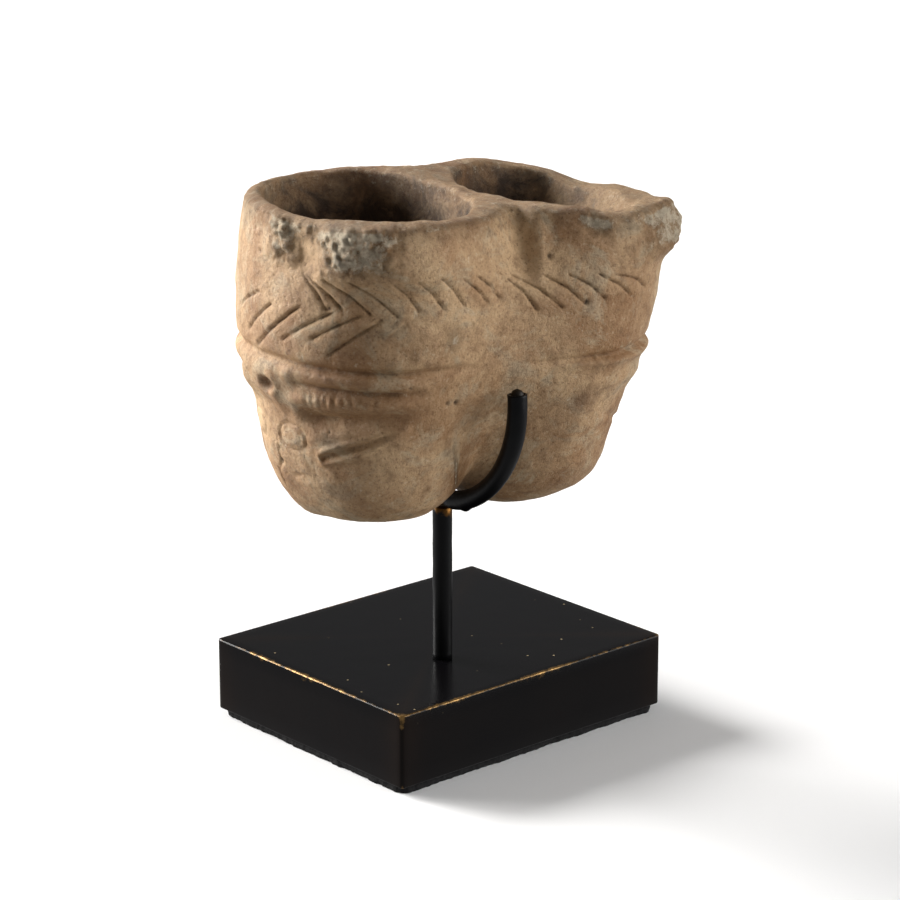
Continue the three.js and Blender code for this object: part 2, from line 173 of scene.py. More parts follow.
def rounded_rectangle(length, depth, corner, step):
    """Closed path round a rectangle with round corners, anticlockwise seen from above.
    Straight sides and quarter circles are sampled evenly; returns places and outward directions."""
    places, outward = [], []
    x, y = length / 2 - corner, depth / 2 - corner
    turns = max(4, int(np.ceil(corner * np.pi / 2 / step)))
    for k, (cx, cy) in enumerate([(x, y), (-x, y), (-x, -y), (x, -y)]):
        angle = (k + np.linspace(0.0, 1.0, turns + 1)) * np.pi / 2
        way = np.stack([np.cos(angle), np.sin(angle)], axis=1)
        arc = np.array([cx, cy]) + corner * way
        places.append(arc)
        outward.append(way)
        side = 2 * x if k % 2 == 0 else 2 * y
        count = max(2, int(side / step))
        along = np.array([-np.sin(angle[-1]), np.cos(angle[-1])])
        t = np.linspace(0.0, side, count + 1)[1:-1]
        places.append(arc[-1] + t[:, None] * along)
        outward.append(np.repeat(way[-1:], len(t), axis=0))
    return np.concatenate(places), np.concatenate(outward)


def plate_grid(places, outward, profile):
    """Profile carried along a closed path: each profile place gives inset and height, a share of 1 in
    the third column draws the ring in to the middle of the plate."""
    rings = []
    for inset, height, inward in profile:
        ring = (places - outward * inset) * (1.0 - inward)
        rings.append(np.column_stack([ring, np.full(len(ring), height)]))
    return np.stack(rings)


def value_noise(points, size, seed):
    """Smooth noise from -1 to 1: random values on a cube lattice of the given size, eased between
    their eight neighbours. The lattice is turned, so that it lies along no edge of a piece."""
    lattice = 32
    table = np.random.default_rng(seed).uniform(-1.0, 1.0, (lattice, lattice, lattice))
    turned = np.array([[0.36, 0.48, -0.8], [-0.8, 0.6, 0.0], [0.48, 0.64, 0.6]])
    scaled = points @ turned / size
    base = np.floor(scaled).astype(int)
    t = scaled - base
    t = t * t * (3.0 - 2.0 * t)
    total = np.zeros(points.shape[:-1])
    for i in (0, 1):
        for j in (0, 1):
            for k in (0, 1):
                share = (np.where(i, t[..., 0], 1 - t[..., 0]) * np.where(j, t[..., 1], 1 - t[..., 1])
                         * np.where(k, t[..., 2], 1 - t[..., 2]))
                corner = (base + np.array([i, j, k])) % lattice
                total += share * table[corner[..., 0], corner[..., 1], corner[..., 2]]
    return total


# Wool felt, pressed: matt black fibres with a little lint, no gloss at all
felt_material, tree, shader, place = start_material("pressed wool felt")
FELT_COLOUR = to_linear("#101011")
LINT_COLOUR = to_linear("#2C2B2B")
lint = add_node(tree, "ShaderNodeTexNoise", {"Vector": place, "Scale": 1600.0, "Detail": 4.0})
felt_mix = add_node(tree, "ShaderNodeMix", {0: lint.outputs["Fac"], 6: FELT_COLOUR, 7: LINT_COLOUR},
                    data_type="RGBA")
tree.links.new(felt_mix.outputs[2], shader.inputs["Base Color"])
shader.inputs["Roughness"].default_value = 1.0
shader.inputs["Specular IOR Level"].default_value = 0.1
felt_bump = add_node(tree, "ShaderNodeBump", {"Height": lint.outputs["Fac"], "Strength": 0.8,
                                              "Distance": 0.0003})
tree.links.new(felt_bump.outputs["Normal"], shader.inputs["Normal"])

felt_low, felt_high = (np.array(corner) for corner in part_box("felt_pad"))
felt_length, felt_depth, felt_height = felt_high - felt_low
FELT_CORNER = 0.0022
FOOT_INSET = 0.0004
BULGE_INSET = 0.0002
TOP_INSET = 0.0003
path, outward = rounded_rectangle(felt_length, felt_depth, FELT_CORNER, step=0.0004)
felt_profile = [(FOOT_INSET, 0.0, 1.0), (FOOT_INSET, 0.0, 0.0), (BULGE_INSET, 0.0006, 0.0),
                (TOP_INSET, felt_height, 0.0), (TOP_INSET, felt_height, 1.0)]
felt_rings = plate_grid(path, outward, felt_profile)
fuzz = 0.00022 * value_noise(felt_rings, 0.0007, 11) + 0.0002 * value_noise(felt_rings, 0.003, 12)
felt_rings[1:4, :, :2] += outward * fuzz[1:4, :, None]
felt_faces = grid_faces(len(felt_profile), len(path))[:, ::-1]
felt, _ = add_mesh("felt", felt_rings.reshape(-1, 3), felt_faces, felt_material)
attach(felt, "root")
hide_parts("felt_pad")

# The base: a solid block of brass, sawn, filed and polished, its edges broken with a file, then
# blackened. The black is rubbed through to bright metal along the edges and shows fine dust.
block_low, block_high = (np.array(corner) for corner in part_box("base_block"))
block_length, block_depth, block_height = block_high - block_low
EDGE_ROUND = 0.00032
CORNER_ROUND = 0.0007


def block_profile():
    """Half outline of the block from the middle of its underside to the middle of its top:
    quarter circles of EDGE_ROUND at both edges, as inset, height and draw towards the middle."""
    bend = np.linspace(0.0, np.pi / 2, 6)
    foot = [(EDGE_ROUND * (1 - np.sin(b)), EDGE_ROUND * (1 - np.cos(b)), 0.0) for b in bend]
    top = [(EDGE_ROUND * (1 - np.cos(b)), block_height - EDGE_ROUND * (1 - np.sin(b)), 0.0) for b in bend]
    sides = [(0.0, block_height * share, 0.0) for share in (0.25, 0.5, 0.75)]
    return [(EDGE_ROUND, 0.0, 1.0), *foot, *sides, *top, (EDGE_ROUND, block_height, 0.06),
            (EDGE_ROUND, block_height, 1.0)]


path, outward = rounded_rectangle(block_length, block_depth, CORNER_ROUND, step=0.0008)
block_rings = plate_grid(path, outward, block_profile())
block_rings[..., 2] += block_low[2]
block_points = block_rings.reshape(-1, 3)

# Black patina on polished brass: a thin brown-black oxide that still mirrors softly, with faint cloudy
# brown where it is thin, bright brass in a broken line on the edges and pale dust specks on top
patina_material, tree, shader, place = start_material("blackened brass")
PATINA_COLOUR = to_linear("#070709")
THIN_COLOUR = to_linear("#1B120C")
BRASS_COLOUR = to_linear("#B48D55")
DUST_COLOUR = to_linear("#9A8A6C")
worn = add_node(tree, "ShaderNodeAttribute", attribute_name="edge")
thin = add_node(tree, "ShaderNodeAttribute", attribute_name="thin")
scuff = add_node(tree, "ShaderNodeTexNoise", {"Vector": place, "Scale": 700.0, "Detail": 5.0,
                                              "Roughness": 0.7})
streak = add_node(tree, "ShaderNodeTexNoise", {"Vector": place, "Scale": 90.0, "Detail": 3.0})
wear_sum = add_node(tree, "ShaderNodeMath", {0: scuff.outputs["Fac"], 1: streak.outputs["Fac"]},
                    operation="MULTIPLY")
wear_raw = add_node(tree, "ShaderNodeMath", {0: worn.outputs["Fac"], 1: wear_sum.outputs[0]},
                    operation="MULTIPLY")
wear = add_node(tree, "ShaderNodeMapRange", {"Value": wear_raw.outputs[0], "From Min": 0.12,
                                             "From Max": 0.32})
cloud = add_node(tree, "ShaderNodeTexNoise", {"Vector": place, "Scale": 60.0, "Detail": 4.0})
thin_amount = add_node(tree, "ShaderNodeMath", {0: cloud.outputs["Fac"], 1: thin.outputs["Fac"]},
                       operation="MULTIPLY")
base_mix = add_node(tree, "ShaderNodeMix", {0: thin_amount.outputs[0], 6: PATINA_COLOUR, 7: THIN_COLOUR},
                    data_type="RGBA")
speck = add_node(tree, "ShaderNodeTexVoronoi", {"Vector": place, "Scale": 330.0, "Randomness": 1.0})
speck_mask = add_node(tree, "ShaderNodeMapRange", {"Value": speck.outputs["Distance"], "From Min": 0.075,
                                                   "From Max": 0.05, "To Min": 0.0, "To Max": 1.0})
sparse = add_node(tree, "ShaderNodeTexNoise", {"Vector": place, "Scale": 120.0, "Detail": 2.0})
sparse_mask = add_node(tree, "ShaderNodeMapRange", {"Value": sparse.outputs["Fac"], "From Min": 0.45,
                                                    "From Max": 0.55})
surface = add_node(tree, "ShaderNodeNewGeometry")
facing = add_node(tree, "ShaderNodeSeparateXYZ", {0: surface.outputs["Normal"]})
dust_top = add_node(tree, "ShaderNodeMath", {0: speck_mask.outputs[0], 1: sparse_mask.outputs[0]},
                    operation="MULTIPLY")
dust = add_node(tree, "ShaderNodeMath", {0: dust_top.outputs[0], 1: facing.outputs["Z"]},
                operation="MULTIPLY", use_clamp=True)
dusty_mix = add_node(tree, "ShaderNodeMix", {0: dust.outputs[0], 6: base_mix.outputs[2], 7: DUST_COLOUR},
                     data_type="RGBA")
brass_mix = add_node(tree, "ShaderNodeMix", {0: wear.outputs[0], 6: dusty_mix.outputs[2], 7: BRASS_COLOUR},
                     data_type="RGBA")
tree.links.new(brass_mix.outputs[2], shader.inputs["Base Color"])
tree.links.new(wear.outputs[0], shader.inputs["Metallic"])
gloss = add_node(tree, "ShaderNodeMapRange", {"Value": cloud.outputs["Fac"], "To Min": 0.16,
                                              "To Max": 0.26})
rough = add_node(tree, "ShaderNodeMix", {0: dust.outputs[0], 2: gloss.outputs[0], 3: 0.9},
                 data_type="FLOAT")
tree.links.new(rough.outputs[0], shader.inputs["Roughness"])
shader.inputs["Specular IOR Level"].default_value = 0.1
ripple = add_node(tree, "ShaderNodeTexNoise", {"Vector": place, "Scale": 220.0, "Detail": 3.0})
block_bump = add_node(tree, "ShaderNodeBump", {"Height": ripple.outputs["Fac"], "Strength": 0.06,
                                               "Distance": 0.0004})
tree.links.new(block_bump.outputs["Normal"], shader.inputs["Normal"])


def add_attribute(piece, name, values):
    """One number for each corner of the mesh, for its material to read."""
    layer = piece.data.attributes.new(name, "FLOAT", "POINT")
    layer.data.foreach_set("value", np.ascontiguousarray(values, dtype=np.float32))


def hump(x, centre, half):
    """1 at the centre, falling to a third at the half width: a bell curve."""
    return np.exp(-((x - centre) / half) ** 2)


block_faces = grid_faces(len(block_rings), len(path))[:, ::-1]
block, kept = add_mesh("block", block_points, block_faces, patina_material)
kept_points = block_points[kept]
half = np.array([block_length, block_depth]) / 2
from_side = np.abs(half - np.abs(kept_points[:, :2]))
from_top = np.abs(kept_points[:, 2] - block_high[2])
from_foot = np.abs(kept_points[:, 2] - block_low[2])
from_corner = from_side.max(axis=1)
near_top = hump(from_top, 0, 0.0004) * hump(from_side.min(axis=1), 0, 0.0005)
front_corner = hump(from_corner, 0, 0.0006) * (kept_points[:, 1] < 0)
near_foot = 0.35 * hump(from_foot, 0, 0.0003)
middle = 1.0 - 0.45 * np.minimum(1.0, from_corner / 0.03)
edge = near_top * (1.1 - 0.45 * middle) + 0.45 * front_corner + near_foot
add_attribute(block, "edge", np.clip(edge, 0, 1.2))
thin_place = 0.1 + 0.9 * hump(from_corner, 0, 0.004) + 0.25 * (from_top > 0.001)
add_attribute(block, "thin", np.clip(thin_place, 0, 1))
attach(block, "root")
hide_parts("base_block")

# The post: a plain round rod of brass, turned to length, let into the block and blackened. Its top is
# brazed to the cradle, and the heat has left bare gold-brown metal there.
post_low, post_high = (np.array(corner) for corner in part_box("post"))
POST_RADIUS = (post_high[0] - post_low[0]) / 2
POST_COLUMNS = 48
post_middle = (post_low[:2] + post_high[:2]) / 2


def turned_grid(profile, columns):
    """Profile of radius and height carried round an upright axis; a radius of 0 closes an end."""
    angle = np.linspace(0.0, 2 * np.pi, columns, endpoint=False)
    radius, height = np.array(profile).T
    return np.stack([radius[:, None] * np.cos(angle), radius[:, None] * np.sin(angle),
                     np.repeat(height[:, None], columns, axis=1)], axis=-1)


# Black lacquer over brass: satin, a little orange peel, thin and burnt through to gold-brown by the braze
lacquer_material, tree, shader, place = start_material("burnt black lacquer")
LACQUER_COLOUR = to_linear("#0B0B0C")
BURNT_COLOUR = to_linear("#6B4A24")
burnt = add_node(tree, "ShaderNodeAttribute", attribute_name="burnt")
peel = add_node(tree, "ShaderNodeTexNoise", {"Vector": place, "Scale": 900.0, "Detail": 3.0})
burnt_raw = add_node(tree, "ShaderNodeMath", {0: burnt.outputs["Fac"], 1: peel.outputs["Fac"]},
                     operation="ADD")
burnt_edge = add_node(tree, "ShaderNodeMapRange", {"Value": burnt_raw.outputs[0], "From Min": 0.85,
                                                   "From Max": 1.15})
lacquer_mix = add_node(tree, "ShaderNodeMix", {0: burnt_edge.outputs[0], 6: LACQUER_COLOUR,
                                               7: BURNT_COLOUR}, data_type="RGBA")
tree.links.new(lacquer_mix.outputs[2], shader.inputs["Base Color"])
tree.links.new(burnt_edge.outputs[0], shader.inputs["Metallic"])
shader.inputs["Roughness"].default_value = 0.36
shader.inputs["Specular IOR Level"].default_value = 0.12
lacquer_bump = add_node(tree, "ShaderNodeBump", {"Height": peel.outputs["Fac"], "Strength": 0.12,
                                                 "Distance": 0.0003})
tree.links.new(lacquer_bump.outputs["Normal"], shader.inputs["Normal"])

post_heights = np.linspace(post_low[2], post_high[2] - 0.0002, 30)
post_profile = [(0.0, post_low[2]), *((POST_RADIUS, z) for z in post_heights),
                (POST_RADIUS - 0.00015, post_high[2]), (0.0, post_high[2])]
post_points = turned_grid(post_profile, POST_COLUMNS)
swell = 0.00004 * value_noise(post_points, 0.002, 21)
post_points[1:-1, :, :2] *= 1.0 + swell[1:-1, :, None] / POST_RADIUS
post_points[..., :2] += post_middle
post_points = post_points.reshape(-1, 3)
post_faces = grid_faces(len(post_profile), POST_COLUMNS)[:, ::-1]
post, kept = add_mesh("post_rod", post_points, post_faces, lacquer_material)
kept_points = post_points[kept]
side_on = (kept_points[:, 0] - post_middle[0]) - 0.4 * (kept_points[:, 1] - post_middle[1])
scorch = (kept_points[:, 2] - post_high[2]) / 0.0024 + 0.95 + 160.0 * side_on
add_attribute(post, "burnt", np.clip(scorch, -1, 1))
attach(post, "root")
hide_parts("post")

# The cradle: one brass rod bent to the jar's cleft, an arm up the front and an arm up the back,
# brazed across the top of the post. ARM is its bend from the post outwards, as reach and height.
ROD_RADIUS = 0.0011
CRADLE_ROWS = 181
CRADLE_COLUMNS = 24
TIP_ROWS = 3
ARM = np.array([[0, 43.3], [4.2, 44.0], [8.5, 45.3], [13, 47.6], [17.5, 51.0], [21.2, 55.2], [23.7, 60.0],
                [24.6, 64.5], [24.5, 68.6]]) / 1000.0
JAR_TURN = np.radians(-11.5)


def smooth_path(points, count):
    """Centripetal Catmull-Rom curve through the points, sampled evenly by length."""
    ends = np.vstack([2 * points[0] - points[1], points, 2 * points[-1] - points[-2]])
    gaps = np.sqrt(np.linalg.norm(np.diff(ends, axis=0), axis=1))
    pieces = []
    for i in range(1, len(ends) - 2):
        p0, p1, p2, p3 = ends[i - 1:i + 3]
        g0, g1, g2 = gaps[i - 1:i + 2]
        m1 = (p1 - p0) / g0 - (p2 - p0) / (g0 + g1) + (p2 - p1) / g1
        m2 = (p2 - p1) / g1 - (p3 - p1) / (g1 + g2) + (p3 - p2) / g2
        t = np.linspace(0.0, 1.0, 40, endpoint=False)[:, None]
        pieces.append((2 * t ** 3 - 3 * t ** 2 + 1) * p1 + (t ** 3 - 2 * t ** 2 + t) * g1 * m1
                      + (-2 * t ** 3 + 3 * t ** 2) * p2 + (t ** 3 - t ** 2) * g1 * m2)
    fine = np.vstack([*pieces, points[-1:]])
    run = np.concatenate([[0.0], np.cumsum(np.linalg.norm(np.diff(fine, axis=0), axis=1))])
    even = np.linspace(0.0, run[-1], count)
    return np.column_stack([np.interp(even, run, fine[:, k]) for k in range(points.shape[1])])


def tube_grid(path, radii, columns):
    """Rings of the given radii square to a path that lies in the cradle's upright plane.
    The path holds reach and height; the ring's first axis is level across that plane."""
    slope = np.gradient(path, axis=0)
    slope /= np.linalg.norm(slope, axis=1, keepdims=True)
    angle = np.linspace(0.0, 2 * np.pi, columns, endpoint=False)
    across = radii * np.cos(angle)
    lift = radii * np.sin(angle)
    reach = path[:, 0, None] - lift * slope[:, 1, None]
    height = path[:, 1, None] + lift * slope[:, 0, None]
    return np.stack([across, -reach, height], axis=-1)


def set_on_post(points):
    """Turn points of the cradle's own frame to the jar's direction and carry them to the post."""
    c, s = np.cos(JAR_TURN), np.sin(JAR_TURN)
    turn = np.array([[c, -s, 0.0], [s, c, 0.0], [0.0, 0.0, 1.0]])
    return points @ turn.T + np.array([*post_middle, 0.0])


bend = np.vstack([(ARM * [-1, 1])[:0:-1], ARM])
cradle_path = smooth_path(bend, CRADLE_ROWS)
# Both tips are rounded over their last rows: the radius follows a quarter circle
row = np.arange(CRADLE_ROWS)
tip_share = np.minimum(1.0, np.minimum(row, row[::-1]) / TIP_ROWS)
cradle_radii = ROD_RADIUS * np.sqrt(tip_share * (2 - tip_share))[:, None] * np.ones(CRADLE_COLUMNS)
cradle_rod = tube_grid(cradle_path, cradle_radii, CRADLE_COLUMNS)
# The bead of braze between the post and the rod, as radius and height
bead_profile = [(0.0, 0.0422), (0.00172, 0.04222), (0.00178, 0.0425), (0.00155, 0.0429), (0.00125, 0.0432),
                (0.0, 0.0434)]
bead_points = turned_grid(bead_profile, CRADLE_COLUMNS)
bead_points[1:-1, :, :2] *= 1.0 + 0.05 * value_noise(bead_points[1:-1], 0.0008, 31)[..., None]
cradle_points = set_on_post(np.concatenate([cradle_rod.reshape(-1, 3), bead_points.reshape(-1, 3)]))
bead_faces = grid_faces(len(bead_profile), CRADLE_COLUMNS, start=CRADLE_ROWS * CRADLE_COLUMNS)[:, ::-1]
cradle_faces = np.concatenate([grid_faces(CRADLE_ROWS, CRADLE_COLUMNS), bead_faces])

# Tarnished brass with braze: brown-gold, dull, darker where flux has burnt on; the arms' tips are black
braze_material, tree, shader, place = start_material("tarnished brass and braze")
TARNISH_COLOUR = to_linear("#1A130B")
GOLD_COLOUR = to_linear("#6E5330")
bare = add_node(tree, "ShaderNodeAttribute", attribute_name="bare")
flux = add_node(tree, "ShaderNodeTexNoise", {"Vector": place, "Scale": 700.0, "Detail": 4.0})
bare_amount = add_node(tree, "ShaderNodeMath", {0: bare.outputs["Fac"], 1: flux.outputs["Fac"]},
                       operation="MULTIPLY")
bare_edge = add_node(tree, "ShaderNodeMapRange", {"Value": bare_amount.outputs[0], "From Min": 0.35,
                                                  "From Max": 0.6})
braze_mix = add_node(tree, "ShaderNodeMix", {0: bare_edge.outputs[0], 6: TARNISH_COLOUR, 7: GOLD_COLOUR},
                     data_type="RGBA")
tree.links.new(braze_mix.outputs[2], shader.inputs["Base Color"])
tree.links.new(bare_edge.outputs[0], shader.inputs["Metallic"])
shader.inputs["Roughness"].default_value = 0.5
shader.inputs["Specular IOR Level"].default_value = 0.2
braze_bump = add_node(tree, "ShaderNodeBump", {"Height": flux.outputs["Fac"], "Strength": 0.3,
                                               "Distance": 0.0003})
tree.links.new(braze_bump.outputs["Normal"], shader.inputs["Normal"])

cradle, kept = add_mesh("cradle_rod", cradle_points, cradle_faces, braze_material)
kept_points = cradle_points[kept]
from_post = np.linalg.norm(kept_points[:, :2] - post_middle, axis=1)
add_attribute(cradle, "bare", np.clip(1.3 - from_post / 0.004, 0, 1))
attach(cradle, "root")
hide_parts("cradle")

# Sleeves over both arms: black tube shrunk on with hot air so that the metal doesn't touch the stone.
# The tube follows the rod loosely, its cut mouth stands open round the rod's tip, and it ends by the braze.
SLEEVE_RADIUS = 0.00165
SLEEVE_BORE = 0.00126
SLEEVE_COLUMNS = 32
SLEEVE_ROWS = 120
SLEEVE_START = 0.0028
TIP_SHOWS = 0.001

# Polyolefin shrink tube: satin black, faint lengthwise creases, a soft grey sheen
shrink_material, tree, shader, place = start_material("black shrink tube")
SHRINK_COLOUR = to_linear("#060607")
SHEEN_COLOUR = to_linear("#0E0F11")
grain = add_node(tree, "ShaderNodeTexNoise", {"Vector": place, "Scale": 500.0, "Detail": 3.0})
shrink_mix = add_node(tree, "ShaderNodeMix", {0: grain.outputs["Fac"], 6: SHRINK_COLOUR, 7: SHEEN_COLOUR},
                      data_type="RGBA")
tree.links.new(shrink_mix.outputs[2], shader.inputs["Base Color"])
shader.inputs["Roughness"].default_value = 0.4
shader.inputs["Specular IOR Level"].default_value = 0.12
crease = add_node(tree, "ShaderNodeBump", {"Height": grain.outputs["Fac"], "Strength": 0.25,
                                           "Distance": 0.0003})
tree.links.new(crease.outputs["Normal"], shader.inputs["Normal"])


def sleeve_points(way, seed):
    """Outer rings from the braze to the mouth, then the bore back: radius swells and shrinks by a few
    hundredths of a millimetre along the arm, pinches in at the braze, sags in one drip under the bend
    and flares at the mouth. way is 1 for the front arm and -1 for the back one."""
    arm = smooth_path(ARM, 200)
    run = np.concatenate([[0.0], np.cumsum(np.linalg.norm(np.diff(arm, axis=0), axis=1))])
    even = np.linspace(SLEEVE_START, run[-1] - TIP_SHOWS, SLEEVE_ROWS)
    path = np.column_stack([np.interp(even, run, arm[:, k]) for k in (0, 1)])
    t = np.linspace(0.0, 1.0, SLEEVE_ROWS)[:, None]
    angle = np.linspace(0.0, 2 * np.pi, SLEEVE_COLUMNS, endpoint=False)[None, :]
    outer = SLEEVE_RADIUS - 0.0002 * hump(t, 0, 0.03) + 0.00004 * hump(t, 1, 0.02)
    outer = outer + 0.00005 * np.sin(9 * t + seed) + 0.00003 * np.cos(2 * angle + 5 * t)
    drip = 0.00035 * hump(t, 0.14, 0.02) * hump(angle, 1.5 * np.pi, 0.5)
    rings = tube_grid(path, outer + drip, SLEEVE_COLUMNS)
    bore = tube_grid(path, np.full_like(outer, SLEEVE_BORE), SLEEVE_COLUMNS)
    both = np.concatenate([rings, bore[::-1], rings[:1]])
    both[..., 1] *= way
    return set_on_post(both)


for name, way in (("sleeve_front", 1.0), ("sleeve_back", -1.0)):
    points = sleeve_points(way, seed=0.7 * way)
    faces = grid_faces(len(points), SLEEVE_COLUMNS)
    if way < 0:
        faces = faces[:, ::-1]
    sleeve, _ = add_mesh(name + "_tube", points.reshape(-1, 3), faces, shrink_material)
    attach(sleeve, "root")
    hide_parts(name)

# The jar: two joined kohl wells carved from one block of cream-brown calcite. Each end is a horned head,
# a row of herringbone strokes runs under the rim, and worn lugs stand out above it. It was ground, drilled
# and incised by hand, then lay buried: rim broken, earth in the cuts, crust. The cuts are darkened with
# earth and with painted shade.

# Sizes here are millimetres in the jar's own frame, +X along both wells, -Y to the front. FAN is the height
# above which rays to the wall run level; STATIONS are heights, and the shares the lobes' sizes at them.
FAN = 20.0
RIM = 55.0
LEFT_FOOT, LEFT_HEAD = -14.8, -15.2
RIGHT_FOOT, RIGHT_HEAD = 11.0, 17.6
STATIONS = np.array([0, 1.2, 3, 6.5, 11, 16.5, 21, 26, 32, 39, 48, 57])
LEFT_SHARE = np.array([0, 0.28, 0.5, 0.647, 0.735, 0.795, 0.835, 0.9, 0.958, 0.976, 0.948, 0.88])
RIGHT_SHARE = np.array([0, 0.25, 0.42, 0.59, 0.73, 0.814, 0.87, 0.94, 0.979, 1.005, 0.997, 0.945])
LEFT_END, RIGHT_END = -15.0, 16.0
LEFT_RADIUS, RIGHT_RADIUS = 20.0, 19.0
PATH_START = LEFT_END - np.pi * LEFT_RADIUS
RIGHT_STOP = RIGHT_END + np.pi * RIGHT_RADIUS
LEFT_TIP = LEFT_END - np.pi * LEFT_RADIUS / 2
RIGHT_TIP = RIGHT_END + np.pi * RIGHT_RADIUS / 2


def ease(a, b, x):
    """0 before a, 1 after b, with a soft start and stop between them."""
    t = np.clip((x - a) / (b - a), 0.0, 1.0)
    return t * t * (3 - 2 * t)


def smooth_through(xs, ys, x):
    """Curve through the places (xs, ys): a cubic in each gap whose slopes are the harmonic means of the
    gaps' slopes, and level where they change sign."""
    slope = np.diff(ys) / np.diff(xs)
    product = slope[1:] * slope[:-1]
    total = np.where(product > 0, slope[1:] + slope[:-1], 1.0)
    inner = np.where(product > 0, 2 * product / total, 0.0)
    tangent = np.concatenate([[slope[0] * 1.5], inner, slope[-1:]])
    i = np.clip(np.searchsorted(xs, x, side="right") - 1, 0, len(xs) - 2)
    h = xs[i + 1] - xs[i]
    t = (x - xs[i]) / h
    return ((2 * t ** 3 - 3 * t ** 2 + 1) * ys[i] + (t ** 3 - 2 * t ** 2 + t) * h * tangent[i]
            + (-2 * t ** 3 + 3 * t ** 2) * ys[i + 1] + (t ** 3 - t ** 2) * h * tangent[i + 1])


def swelling(x, y, z, bottom, rim, left, right, depth, outer, share):
    """Distance-like value of one swelling, negative inside: an ellipse in plan, left and right half axes
    apart, whose size follows its share of the height and whose middle leans from bottom to rim."""
    t = np.clip(z / STATIONS[-1], 0.0, 1.0)
    dx = x - (bottom + (rim - bottom) * t)
    a = np.where(dx > 0, right(t), left(t))
    size = smooth_through(STATIONS, share, np.clip(z, 0.0, STATIONS[-1])) - 0.5 * np.maximum(0.0, -z)
    return (np.hypot(dx / a, y / depth) - size) * 0.5 * (outer + depth)


def jar_field(x, y, z):
    """Both swellings melted together: their smooth union, tight in the cleft below, wide at mid-height."""
    left = swelling(x, y, z, LEFT_FOOT, LEFT_HEAD, lambda t: 22.0, lambda t: 23.0 + 1.5 * t, 25.5, 22.0,
                    LEFT_SHARE)
    right = swelling(x, y, z, RIGHT_FOOT, RIGHT_HEAD, lambda t: 22.0 - 5.0 * t, lambda t: 20.5, 24.5, 20.5,
                     RIGHT_SHARE)
    melt = 3 + 13 * ease(4, 30, z) - 6 * ease(40, 57, z)
    h = np.clip(0.5 + 0.5 * (right - left) / melt, 0.0, 1.0)
    return right + (left - right) * h - melt * h * (1 - h)


def ray_from(s, q):
    """Start and direction of the ray for path place s and height q. s runs round the jar from the middle
    of the front; the start stands on the spine between both ends, q over the fan's height, and below it
    the ray swings down under the jar by q over the fan's radius."""
    left_turn = np.clip((LEFT_END - s) / LEFT_RADIUS, 0.0, np.pi)
    right_turn = np.clip((s - RIGHT_END) / RIGHT_RADIUS, 0.0, np.pi)
    station = np.where(s > RIGHT_STOP, RIGHT_END - (s - RIGHT_STOP), np.clip(s, LEFT_END, RIGHT_END))
    dx = np.sin(right_turn) - np.sin(left_turn)
    dy = np.where(s > RIGHT_END, -np.cos(right_turn), -np.cos(left_turn))
    z = FAN + np.maximum(0.0, q)
    t = np.clip(z / STATIONS[-1], 0.0, 1.0)
    low = LEFT_FOOT + (LEFT_HEAD - LEFT_FOOT) * t
    high = RIGHT_FOOT + (RIGHT_HEAD - RIGHT_FOOT) * t
    x = low + (high - low) * (station - LEFT_END) / (RIGHT_END - LEFT_END)
    swing = np.maximum(0.0, -q) / FAN
    start = np.stack(np.broadcast_arrays(x, 0.0 * z, z), axis=-1)
    way = np.stack(np.broadcast_arrays(dx * np.cos(swing), dy * np.cos(swing), -np.sin(swing)), axis=-1)
    return start, way


def on_jar(s, q):
    """Where the ray leaves the form, found by halving the stretch that holds the wall 30 times."""
    start, way = ray_from(s, q)
    low = np.zeros(start.shape[:-1])
    high = np.full(start.shape[:-1], 45.0)
    for _ in range(30):
        middle = (low + high) / 2
        place = start + way * middle[..., None]
        inside = jar_field(place[..., 0], place[..., 1], place[..., 2]) < 0
        low = np.where(inside, middle, low)
        high = np.where(inside, high, middle)
    return start + way * low[..., None], way


def rim_height(x, y):
    """Height of the rim over the plan: broken lower round the right end, nicked in front, higher behind."""
    angle = np.degrees(np.arctan2(x - 10, -y))
    broken = 2.4 * ease(45, 80, angle) * (1 - ease(110, 165, angle)) + 0.6 * hump(angle, 38, 6)
    broken += 1.3 * hump(angle, 67, 9) + 0.9 * hump(angle, 116, 11)
    nick = 1.5 * hump(angle, 22, 10) + 0.6 * hump(x, -32, 3) * ease(0, 10, -y)
    raised = 1.0 * hump(x, -2, 12) * ease(5, 18, y) + 0.8 * hump(x, 3, 4.5) * ease(12, 20, y)
    return RIM - broken - nick + raised


def stroke(s, q, path, half, upper=1.0):
    """Depth of a hand-cut V along a path of (s, q, depth): full on the line, none at the half width.
    Above the line the wall is steeper by the factor upper. Returns 0 away from the stroke."""
    deepest = np.zeros(np.broadcast(s, q).shape)
    for (s0, q0, d0), (s1, q1, d1) in zip(path[:-1], path[1:]):
        ds, dq = s1 - s0, q1 - q0
        along = np.clip(((s - s0) * ds + (q - q0) * dq) / (ds * ds + dq * dq), 0.0, 1.0)
        off_s, off_q = s - s0 - along * ds, q - q0 - along * dq
        away = np.hypot(off_s, off_q) * np.where(off_q > 0, upper, 1.0)
        deepest = np.maximum(deepest, (d0 + (d1 - d0) * along) * np.clip(1 - away / half, 0.0, 1.0))
    return deepest


def spot(s, q, s0, q0, half_s, half_q):
    """Round spot: 1 at its middle, 0 well outside, as a bell curve of the scaled distance."""
    return np.exp(-((s - s0) / half_s) ** 2 - ((q - q0) / half_q) ** 2)


